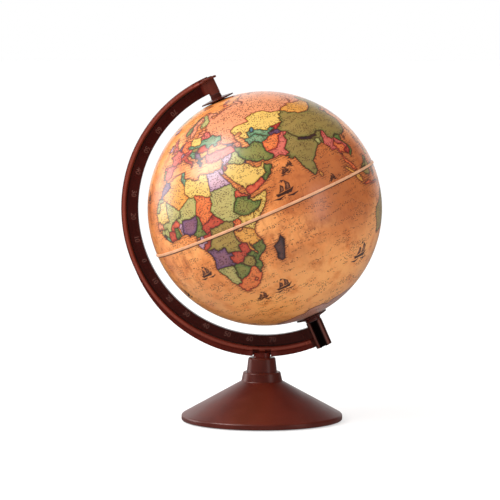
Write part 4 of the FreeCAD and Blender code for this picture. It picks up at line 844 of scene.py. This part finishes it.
# Rubbed corners: paler where a corner sticks out, as wear, and where it is strong, as on the arm, also as a
# painted highlight.
wearAndSheenGroup, come, go = newGroup("cornerWearAndSheen", [("low", number, 0.52), ("high", number, 0.6)],
                               [("mask", number)])
sticking = wearAndSheenGroup.nodes.new("ShaderNodeNewGeometry").outputs["Pointiness"]
corner = span(wearAndSheenGroup, sticking, come["low"], come["high"])
broken = span(wearAndSheenGroup, noiseOn(wearAndSheenGroup, objectPlace(wearAndSheenGroup), 300, 5, 0.7), 0.35, 0.6, 0.35, 1.0)
wearAndSheenGroup.links.new(times(wearAndSheenGroup, corner, broken), go["mask"])


def plastic(name, base, roughness, grainDepth=0.00002, cloudScale=40.0, wearAndSheen=0.3, dust=0.15, specular=0.5,
            shine=(1, 1, 1)):
    made, tree, shader = newMaterial(name)
    skin = useGroup(tree, skinGroup, cloudScale=cloudScale)
    shaded = mixed(tree, skin["cloud"], tuple(c * 0.82 for c in base), tuple(min(1, c * 1.1) for c in base))
    edge = maths(tree, "MULTIPLY", useGroup(tree, wearAndSheenGroup)["mask"], wearAndSheen)
    shaded = mixed(tree, edge, shaded, tuple(min(1, c * 1.7 + 0.02) for c in base))
    shaded = mixed(tree, useGroup(tree, dustGroup, amount=dust)["mask"], shaded, (0.4, 0.36, 0.33))
    tree.links.new(shaded, shader.inputs["Base Color"])
    gloss = span(tree, skin["cloud"], 0, 1, roughness - 0.03, roughness + 0.04)
    gloss = maths(tree, "SUBTRACT", gloss, maths(tree, "MULTIPLY", skin["rubbed"], 0.05))
    tree.links.new(gloss, shader.inputs["Roughness"])
    bump = tree.nodes.new("ShaderNodeBump")
    bump.inputs["Strength"].default_value = 0.5
    bump.inputs["Distance"].default_value = grainDepth
    tree.links.new(skin["grain"], bump.inputs["Height"])
    tree.links.new(bump.outputs["Normal"], shader.inputs["Normal"])
    shader.inputs["Specular IOR Level"].default_value = specular
    shader.inputs["Specular Tint"].default_value = (*shine, 1)
    return made


# Distances from the globe's centre, in metres, at which the arm's front changes, as a rise and a fall.
armFinish = {
    "lines": ((0.1198, 0.1204), (0.1228, 0.1225)),
    "linesInTurn": 360,
    "lineDepth": 0.09,           # as a share of the relief
    "lip": (0.1202, 0.0024),     # middle and half width
    "bead": (0.11935, 0.0012),
    "webStep": (0.1122, 0.1142),
    "stepDepth": 0.16,
    "relief": 0.0012,
    "groove": ((0.1166, 0.1175), (0.1184, 0.1179)),
    "webEnd": (0.1183, 0.1172),
    "crownHighlight": ((0.1184, 0.1203), (0.1225, 0.1207)),
    "reliefBeside": (0.0135, 0.0145),    # from the globe's axis, clear of the boss and the clip
    "tintBeside": (0.0084, 0.0092),
    "clipFrom": (-0.1015, -0.1025),      # along the axis from the globe's centre
    "bossFrom": (0.1015, 0.1025),
    "clipHalf": (0.0095, 0.0085),
    "bossHalf": (0.0084, 0.006),
    "clipLips": ((0.0034, 0.0042), (0.0058, 0.0048)),
    "slotHalf": (0.0035, 0.0029),
    "shine": (0.32, 0.04),               # outside and inside the slot
}


# Half an ellipse's height over a ring with this middle and half width.
def roundedHeight(tree, reach, middle, half):
    side = maths(tree, "DIVIDE", maths(tree, "SUBTRACT", reach, middle), half)
    left = maths(tree, "SUBTRACT", 1.0, times(tree, side, side))
    return maths(tree, "SQRT", maths(tree, "MAXIMUM", left, 0.0))


# The arm's relief and painted light: lines for each degree, a rounded lip, painted shade on the web, in the
# groove, on the clip and in its slot, and painted highlights on the lip, the clip's lips and the boss.
def addGraduation(made):
    tree = made.node_tree
    shader = tree.nodes["Principled BSDF"]
    place = moved(tree, objectPlace(tree), at=-globeCentre)
    x, y, z = parted(tree, place)
    reach = maths(tree, "SQRT", maths(tree, "ADD", times(tree, x, x), times(tree, z, z)))
    angle = maths(tree, "ARCTAN2", z, times(tree, x, -1.0))
    wave = span(tree, maths(tree, "SINE", times(tree, angle, armFinish["linesInTurn"])), -0.2, 0.9)
    lines = times(tree, wave, window(tree, reach, *armFinish["lines"]), armFinish["lineDepth"])
    bead = times(tree, roundedHeight(tree, reach, *armFinish["bead"]), 0.9)
    lip = maths(tree, "SUBTRACT", roundedHeight(tree, reach, *armFinish["lip"]), bead)
    step = times(tree, span(tree, reach, *armFinish["webStep"]), armFinish["stepDepth"])
    across, y, along = parted(tree, moved(tree, place, turn=(0, globeLean, 0)))
    side = maths(tree, "ABSOLUTE", across)
    between = span(tree, side, *armFinish["reliefBeside"])
    relief = times(tree, maths(tree, "ADD", maths(tree, "SUBTRACT", lip, step), lines), between)
    bump = tree.nodes.new("ShaderNodeBump")
    bump.inputs["Strength"].default_value = 1.0
    bump.inputs["Distance"].default_value = armFinish["relief"]
    tree.links.new(relief, bump.inputs["Height"])
    tree.links.new(shader.inputs["Normal"].links[0].from_socket, bump.inputs["Normal"])
    tree.links.new(bump.outputs["Normal"], shader.inputs["Normal"])
    # painted shade in the groove beside the bead
    paintedShade = times(tree, window(tree, reach, *armFinish["groove"]), between, 0.8)
    shaded = mixed(tree, paintedShade, shader.inputs["Base Color"].links[0].from_socket, (0.016, 0.003, 0.002))
    # painted shade darkens the web, and a painted highlight lightens the middle of the lip
    beside = span(tree, side, *armFinish["tintBeside"])
    webShade = times(tree, span(tree, reach, *armFinish["webEnd"]), beside)
    shaded = mixed(tree, webShade, shaded, mixed(tree, 1.0, shaded, (0.42, 0.34, 0.3), "MULTIPLY"))
    crownHighlight = times(tree, window(tree, reach, *armFinish["crownHighlight"]), beside, 0.75)
    shaded = mixed(tree, crownHighlight, shaded, (0.3, 0.062, 0.038))
    # painted shade darkens the clip, and the inside of its slot is painted near black with little
    # reflection
    low = span(tree, along, *armFinish["clipFrom"])
    clipShade = times(tree, low, span(tree, side, *armFinish["clipHalf"]), 0.65)
    shaded = mixed(tree, clipShade, shaded, (0.014, 0.0025, 0.0015))
    # painted light: the boss is painted lighter than the rest of the arm
    high = span(tree, along, *armFinish["bossFrom"])
    bossPaintedLight = times(tree, high, span(tree, side, *armFinish["bossHalf"]), 0.5)
    shaded = mixed(tree, bossPaintedLight, shaded, (0.13, 0.032, 0.02))
    # painted highlights along the clip's two lips
    lipHighlights = times(tree, window(tree, side, *armFinish["clipLips"]), low, 0.8)
    shaded = mixed(tree, lipHighlights, shaded, (0.17, 0.06, 0.045))
    slotShade = times(tree, low, span(tree, side, *armFinish["slotHalf"]))
    shaded = mixed(tree, times(tree, slotShade, 0.95), shaded, (0.001, 0.0006, 0.0006))
    tree.links.new(shaded, shader.inputs["Base Color"])
    outside, inside = armFinish["shine"]
    tree.links.new(maths(tree, "MULTIPLY_ADD", slotShade, inside - outside, outside),
                   shader.inputs["Specular IOR Level"])
    return made


def metal(name, base, roughness, grainScale=900.0, depth=0.00003):
    made, tree, shader = newMaterial(name)
    skin = useGroup(tree, skinGroup, cloudScale=220.0, grainScale=grainScale)
    shaded = mixed(tree, skin["cloud"], tuple(c * 0.75 for c in base), base)
    tree.links.new(shaded, shader.inputs["Base Color"])
    gloss = span(tree, skin["cloud"], 0, 1, roughness - 0.08, roughness + 0.1)
    tree.links.new(gloss, shader.inputs["Roughness"])
    bump = tree.nodes.new("ShaderNodeBump")
    bump.inputs["Strength"].default_value = 0.6
    bump.inputs["Distance"].default_value = depth
    tree.links.new(skin["grain"], bump.inputs["Height"])
    tree.links.new(bump.outputs["Normal"], shader.inputs["Normal"])
    shader.inputs["Metallic"].default_value = 1.0
    return made


mapPrint = {
    "line": (0.18, 0.468),       # half width of a drawn line and of its soft edge, mm
    "wash": (0.1, 3.4),          # reach of the stronger colour along the borders, mm
    "border": (0.3, 1.5),        # reach of the deeper tint beside a border, mm
    "shore": (0.1, 2.1),         # dark shading on the sea side, mm
    "brown": (0.05, 0.012, 0.005),
    "stain": (0.4, 0.08, 0.008),
    "pale": (0.95, 0.41, 0.12),
    "darkSpotAt": (92, 2),         # longitude and latitude
    "darkSpotSpread": (0.8, 0.97),
    "southLightFrom": (-0.02, -0.07),  # heights along the axis from the ball's centre, in metres
    "strokes": 3300.0,           # engraved strokes: turns of a sine in each metre along the axis
    "strokeReach": -12.0,        # mm that the noise adds to their reach from the coast
    "marks": 1000.0,             # scale of the short hachures
    "markRows": 210.0,
    "bandShadow": ((-0.0023, -0.0015), (-0.0009, -0.00105)),
}


def paperColour(tree, upright, height, broad, middle):
    stain, pale = mapPrint["stain"], mapPrint["pale"]
    fibre = noiseOn(tree, moved(tree, upright, scale=(1, 1, 0.12)), 420, 4, 0.6)
    paper = mixed(tree, span(tree, broad, 0.44, 0.66, 0, 0.85), tints["sea"], pale)
    for share in (span(tree, broad, 0.5, 0.3, 0, 0.75), span(tree, middle, 0.47, 0.68, 0, 0.62),
                  span(tree, fibre, 0.5, 0.75, 0, 0.5)):
        paper = mixed(tree, share, paper, stain)
    # painted light makes the sea paler towards the south pole, and the sea is darker round a spot in the
    # middle of the eastern ocean
    southPaintedLight = times(tree, span(tree, height, *mapPrint["southLightFrom"], 0, 0.9), span(tree, middle, 0.3, 0.6))
    paper = mixed(tree, southPaintedLight, paper, pale)
    toDarkSpot = tree.nodes.new("ShaderNodeVectorMath")
    toDarkSpot.operation = "DOT_PRODUCT"
    tree.links.new(upright, toDarkSpot.inputs[0])
    toDarkSpot.inputs[1].default_value = onBall(*mapPrint["darkSpotAt"]) / ballRadius
    spread = span(tree, toDarkSpot.outputs["Value"], *mapPrint["darkSpotSpread"])
    return mixed(tree, times(tree, spread, span(tree, broad, 0.3, 0.6, 0.5, 0.95), 0.85), paper, stain)


# Rows of short strokes along the parallels, for hills on the land and soundings at sea.
def hachures(tree, upright, onLand, atSea):
    cells = tree.nodes.new("ShaderNodeTexVoronoi")
    cells.inputs["Scale"].default_value = mapPrint["marks"]
    tree.links.new(moved(tree, upright, scale=(0.62, 0.62, 1.15)), cells.inputs["Vector"])
    mark = span(tree, cells.outputs["Distance"], 0.3, 0.44, 1.0, 0.0)
    where = noiseOn(tree, moved(tree, upright, scale=(0.3, 0.3, 1.6)), mapPrint["markRows"], 3, 0.5)
    atSea = times(tree, atSea, span(tree, where, 0.53, 0.56, 0.0, 0.85))
    often = maths(tree, "MULTIPLY_ADD", onLand, 0.88, atSea)
    return times(tree, mark, span(tree, where, 0.43, 0.47), often)


def makeMapPrint():
    made, tree, shader = newMaterial("mapPrint")
    place = objectPlace(tree)
    # the same place seen upright about the ball's centre: z runs along its axis
    away = tree.nodes.new("ShaderNodeVectorMath")
    away.operation = "SUBTRACT"
    tree.links.new(place, away.inputs[0])
    away.inputs[1].default_value = globeCentre
    upright = moved(tree, away.outputs["Vector"], turn=(0, globeLean, 0))
    height = parted(tree, upright)[2]
    tint, onLand = attribute(tree, "tint", "Color"), attribute(tree, "tint", "Alpha")
    ink, shore = attribute(tree, "inkDistance", "Fac"), attribute(tree, "shoreDistance", "Fac")
    broad = noiseOn(tree, place, 24, 8, 0.68, 0.25)
    middle = noiseOn(tree, place, 85, 7, 0.68, 0.2)
    sea = paperColour(tree, upright, height, broad, middle)
    wash = span(tree, ink, *mapPrint["wash"], 1.0, 0.86)
    wash = times(tree, wash, span(tree, middle, 0.3, 0.7, 1.0, 0.9))
    squared = mixed(tree, 1.0, tint, tint, "MULTIPLY")
    deep = mixed(tree, span(tree, ink, *mapPrint["border"], 0.75, 0.0), tint, squared)
    land = mixed(tree, wash, sea, deep)
    squared = mixed(tree, 1.0, land, land, "MULTIPLY")
    land = mixed(tree, span(tree, middle, 0.55, 0.72, 0, 0.45), land, squared)
    ground = mixed(tree, onLand, sea, land)
    atSea = maths(tree, "SUBTRACT", 1.0, onLand)
    coast = times(tree, span(tree, shore, *mapPrint["shore"], 0.7, 0.0), atSea)
    ground = mixed(tree, coast, ground, mapPrint["stain"])
    # engraved strokes beside the coasts, along the parallels
    stroke = span(tree, maths(tree, "SINE", times(tree, height, mapPrint["strokes"])), 0.35, 0.8)
    spread = noiseOn(tree, moved(tree, upright, scale=(0.3, 0.3, 1.2)), 300, 3, 0.5)
    spread = maths(tree, "MULTIPLY_ADD", spread, mapPrint["strokeReach"], shore)
    stroke = times(tree, stroke, times(tree, span(tree, spread, -3.4, -4.0), atSea), 0.6)
    ground = mixed(tree, stroke, ground, mapPrint["brown"])
    ground = mixed(tree, hachures(tree, upright, onLand, atSea), ground, mapPrint["brown"])
    line = maths(tree, "MAXIMUM", span(tree, ink, *mapPrint["line"], 0.85, 0.0),
                 times(tree, attribute(tree, "inked", "Fac"), 0.95))
    ground = mixed(tree, line, ground, mapPrint["brown"])
    # painted shadow along the underside of the equator band
    paintedShade = times(tree, window(tree, height, *mapPrint["bandShadow"]), 0.85)
    ground = mixed(tree, paintedShade, ground, mapPrint["brown"])
    tree.links.new(ground, shader.inputs["Base Color"])
    tree.links.new(span(tree, middle, 0.3, 0.7, 0.4, 0.5), shader.inputs["Roughness"])
    relief = tree.nodes.new("ShaderNodeBump")
    relief.inputs["Strength"].default_value = 0.25
    relief.inputs["Distance"].default_value = 0.00004
    tree.links.new(noiseOn(tree, place, 380, 4, 0.6), relief.inputs["Height"])
    tree.links.new(relief.outputs["Normal"], shader.inputs["Normal"])
    shader.inputs["Coat Weight"].default_value = 1.0
    shader.inputs["Coat Roughness"].default_value = 0.27
    shader.inputs["Coat IOR"].default_value = 1.6
    shader.inputs["Specular IOR Level"].default_value = 0.25
    return made


def paint(material, *names):
    for name in names:
        thing = bpy.data.objects[name]
        thing.data.materials.clear()
        thing.data.materials.append(material)


brownPlastic = plastic("brownPlastic", (0.078, 0.007, 0.0022), 0.34, wearAndSheen=0.35, dust=0.03, specular=0.56,
                       shine=(1, 0.78, 0.74))
# the arm's strong corner wear also paints a highlight along its bead
armPlastic = addGraduation(plastic("armPlastic", (0.078, 0.005, 0.0014), 0.27, wearAndSheen=0.55, dust=0.02,
                                   shine=(1, 0.7, 0.64)))
capPlastic = plastic("capPlastic", (0.06, 0.008, 0.004), 0.25, wearAndSheen=0.4, dust=0.05, specular=0.4)
blackPlastic = plastic("blackPlastic", (0.002, 0.0016, 0.0016), 0.3, dust=0.0, wearAndSheen=0.0, specular=0.1)
bandPlastic = plastic("bandPlastic", (0.72, 0.36, 0.19), 0.36, cloudScale=120.0, wearAndSheen=0.2, dust=0.05)
coverPlastic = plastic("coverPlastic", (0.05, 0.011, 0.007), 0.5, grainDepth=0.00006)
footRubber = plastic("footRubber", (0.013, 0.012, 0.012), 0.72, grainDepth=0.00005)
naturalPlastic = plastic("naturalPlastic", (0.72, 0.69, 0.62), 0.48, dust=0.0)
paint(makeMapPrint(), "northMap", "southMap")
paint(armPlastic, "arm")
paint(brownPlastic, "stem", "base_shell")
paint(capPlastic, "upper_pole_cap", "lower_pole_cap")
paint(blackPlastic, "lower_axle_rod", "upper_axle_pin")
paint(bandPlastic, "equator_band")
paint(coverPlastic, "base_cover")
paint(footRubber, *[f"foot_pad_{i}" for i in range(1, 5)])
paint(naturalPlastic, "joining_ring", "upper_retaining_ring", "lower_retaining_ring")
paint(plastic("nylon", (0.03, 0.012, 0.009), 0.42, dust=0.0), "upper_washer", "lower_washer")
paint(metal("zincSteel", (0.62, 0.62, 0.64), 0.32), "arm_screw", "arm_screw_washer",
      *[f"cover_screw_{i}" for i in range(1, 5)])
paint(metal("castIron", (0.16, 0.16, 0.17), 0.6, 350.0, 0.0003), "base_ballast")
print("materials made")


degreeNumbers = {
    "radius": 0.1124,            # of the middle of the figures about the globe's centre
    "height": 0.0042,
    "raised": 0.00022,
    "bevel": 0.00008,
    "step": 10,
    "last": 70,
    "face": 0.0034,              # of the arm's web, from its middle
}


# Raised figures on one face of the arm.
def makeNumbers(name, front):
    joined = bmesh.new()
    across = Vector((-globeAxis.z, 0, globeAxis.x))
    out = Vector((0, -1 if front else 1, 0))
    for degree in range(-degreeNumbers["last"], degreeNumbers["last"] + 1, degreeNumbers["step"]):
        text = bpy.data.curves.new("figure", "FONT")
        text.body = str(abs(degree))
        text.size = degreeNumbers["height"] * 1.4
        text.extrude = degreeNumbers["raised"]
        text.bevel_depth = degreeNumbers["bevel"]
        text.align_x, text.align_y = "CENTER", "CENTER"
        figure = bpy.data.objects.new("figure", text)
        bpy.context.scene.collection.objects.link(figure)
        bpy.context.view_layer.update()
        shaped = figure.evaluated_get(bpy.context.evaluated_depsgraph_get())
        mesh = bpy.data.meshes.new_from_object(shaped)
        a = math.radians(degree)
        ray = across * math.cos(a) + globeAxis * math.sin(a)
        right = (-ray).cross(out)
        spot = globeCentre + ray * degreeNumbers["radius"] + out * degreeNumbers["face"]
        turned = Matrix((right, -ray, out)).transposed().to_4x4()
        mesh.transform(Matrix.Translation(spot) @ turned)
        joined.from_mesh(mesh)
        bpy.data.objects.remove(figure)
        bpy.data.curves.remove(text)
        bpy.data.meshes.remove(mesh)
    mesh = bpy.data.meshes.new(name)
    bmesh.ops.remove_doubles(joined, verts=joined.verts, dist=0.00001)
    bmesh.ops.recalc_face_normals(joined, faces=joined.faces)
    joined.to_mesh(mesh)
    joined.free()
    piece = bpy.data.objects.new(name, mesh)
    bpy.context.scene.collection.objects.link(piece)
    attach(piece, "stand")
    piece.data.materials.append(figureWearAndSheen)
    print(name, len(mesh.polygons), "faces")


# the figures are the arm's plastic made paler, partly as wear on their tops and partly as a painted
# highlight
figureWearAndSheen = plastic("figureWearAndSheen", (0.11, 0.032, 0.022), 0.24, wearAndSheen=0.5)
makeNumbers("frontNumbers", True)
makeNumbers("backNumbers", False)


studio = {
    "floor": 0.55,
    "mirrored": 0.08,            # the floor as mirror images show it
    "fill": 1.08,                # world light on the object
    "key": {"place": (-1.0, -0.46, 1.2), "size": (0.8, 0.95), "power": 20.0},
    "left": {"place": (-1.42, 0.5, 0.12), "size": (0.6, 1.4), "power": 8.0},
    "right": {"place": (1.25, -0.85, 0.2), "size": (0.35, 1.1), "power": 2.4},
}


def softLight(name, place, size, power):
    lamp = bpy.data.lights.new(name, "AREA")
    lamp.shape, lamp.size, lamp.size_y, lamp.energy = "RECTANGLE", size[0], size[1], power
    thing = bpy.data.objects.new(name, lamp)
    thing.location = place
    thing.rotation_mode = "QUATERNION"
    thing.rotation_quaternion = (globeCentre - Vector(place)).to_track_quat("-Z", "Y")
    bpy.context.scene.collection.objects.link(thing)


# One where the camera or a mirror image looks.
def seenRays(tree):
    rays = tree.nodes.new("ShaderNodeLightPath").outputs
    glossy = maths(tree, "MAXIMUM", rays["Is Glossy Ray"], rays["Is Transmission Ray"])
    return rays["Is Camera Ray"], glossy


def makeStudio():
    for name in ("key", "left", "right"):
        softLight(name + "Light", **studio[name])
    sheet = bmesh.new()
    bmesh.ops.create_grid(sheet, x_segments=1, y_segments=1, size=12)
    mesh = bpy.data.meshes.new("floor")
    sheet.to_mesh(mesh)
    sheet.free()
    floor = bpy.data.objects.new("floor", mesh)
    bpy.context.scene.collection.objects.link(floor)
    made, tree, shader = newMaterial("paleFloor")
    shader.inputs["Roughness"].default_value = 0.9
    shader.inputs["Emission Color"].default_value = (1, 1, 1, 1)
    seen, mirrored = seenRays(tree)
    pale = mixed(tree, mirrored, (studio["floor"],) * 3, (studio["mirrored"],) * 3)
    tree.links.new(pale, shader.inputs["Base Color"])
    glow = maths(tree, "ADD", maths(tree, "MULTIPLY", seen, 0.46), maths(tree, "MULTIPLY", mirrored, 0.1))
    tree.links.new(glow, shader.inputs["Emission Strength"])
    floor.data.materials.append(made)
    world = bpy.data.worlds.new("studio")
    bpy.context.scene.world = world
    world.use_nodes = True
    tree = world.node_tree
    seen, mirrored = seenRays(tree)
    # mirror images show the white backdrop behind the object and a dim room in front of it
    across, away, up = parted(tree, tree.nodes.new("ShaderNodeTexCoord").outputs["Generated"])
    back = maths(tree, "MULTIPLY_ADD", across, -0.42, away)
    back = maths(tree, "MULTIPLY_ADD", up, -0.35, back)
    diffuse = maths(tree, "SUBTRACT", 1.0, maths(tree, "MAXIMUM", mirrored, seen))
    lit = maths(tree, "MULTIPLY", diffuse, studio["fill"])
    mirrored = maths(tree, "MULTIPLY", mirrored, span(tree, back, 0.32, 0.95, 0.03, 1.0))
    strength = maths(tree, "ADD", maths(tree, "MAXIMUM", seen, mirrored), lit)
    background = tree.nodes["Background"]
    background.inputs["Color"].default_value = (1, 1, 1, 1)
    tree.links.new(strength, background.inputs["Strength"])


makeStudio()
bpy.context.scene.view_settings.view_transform = "Standard"
print("studio set")
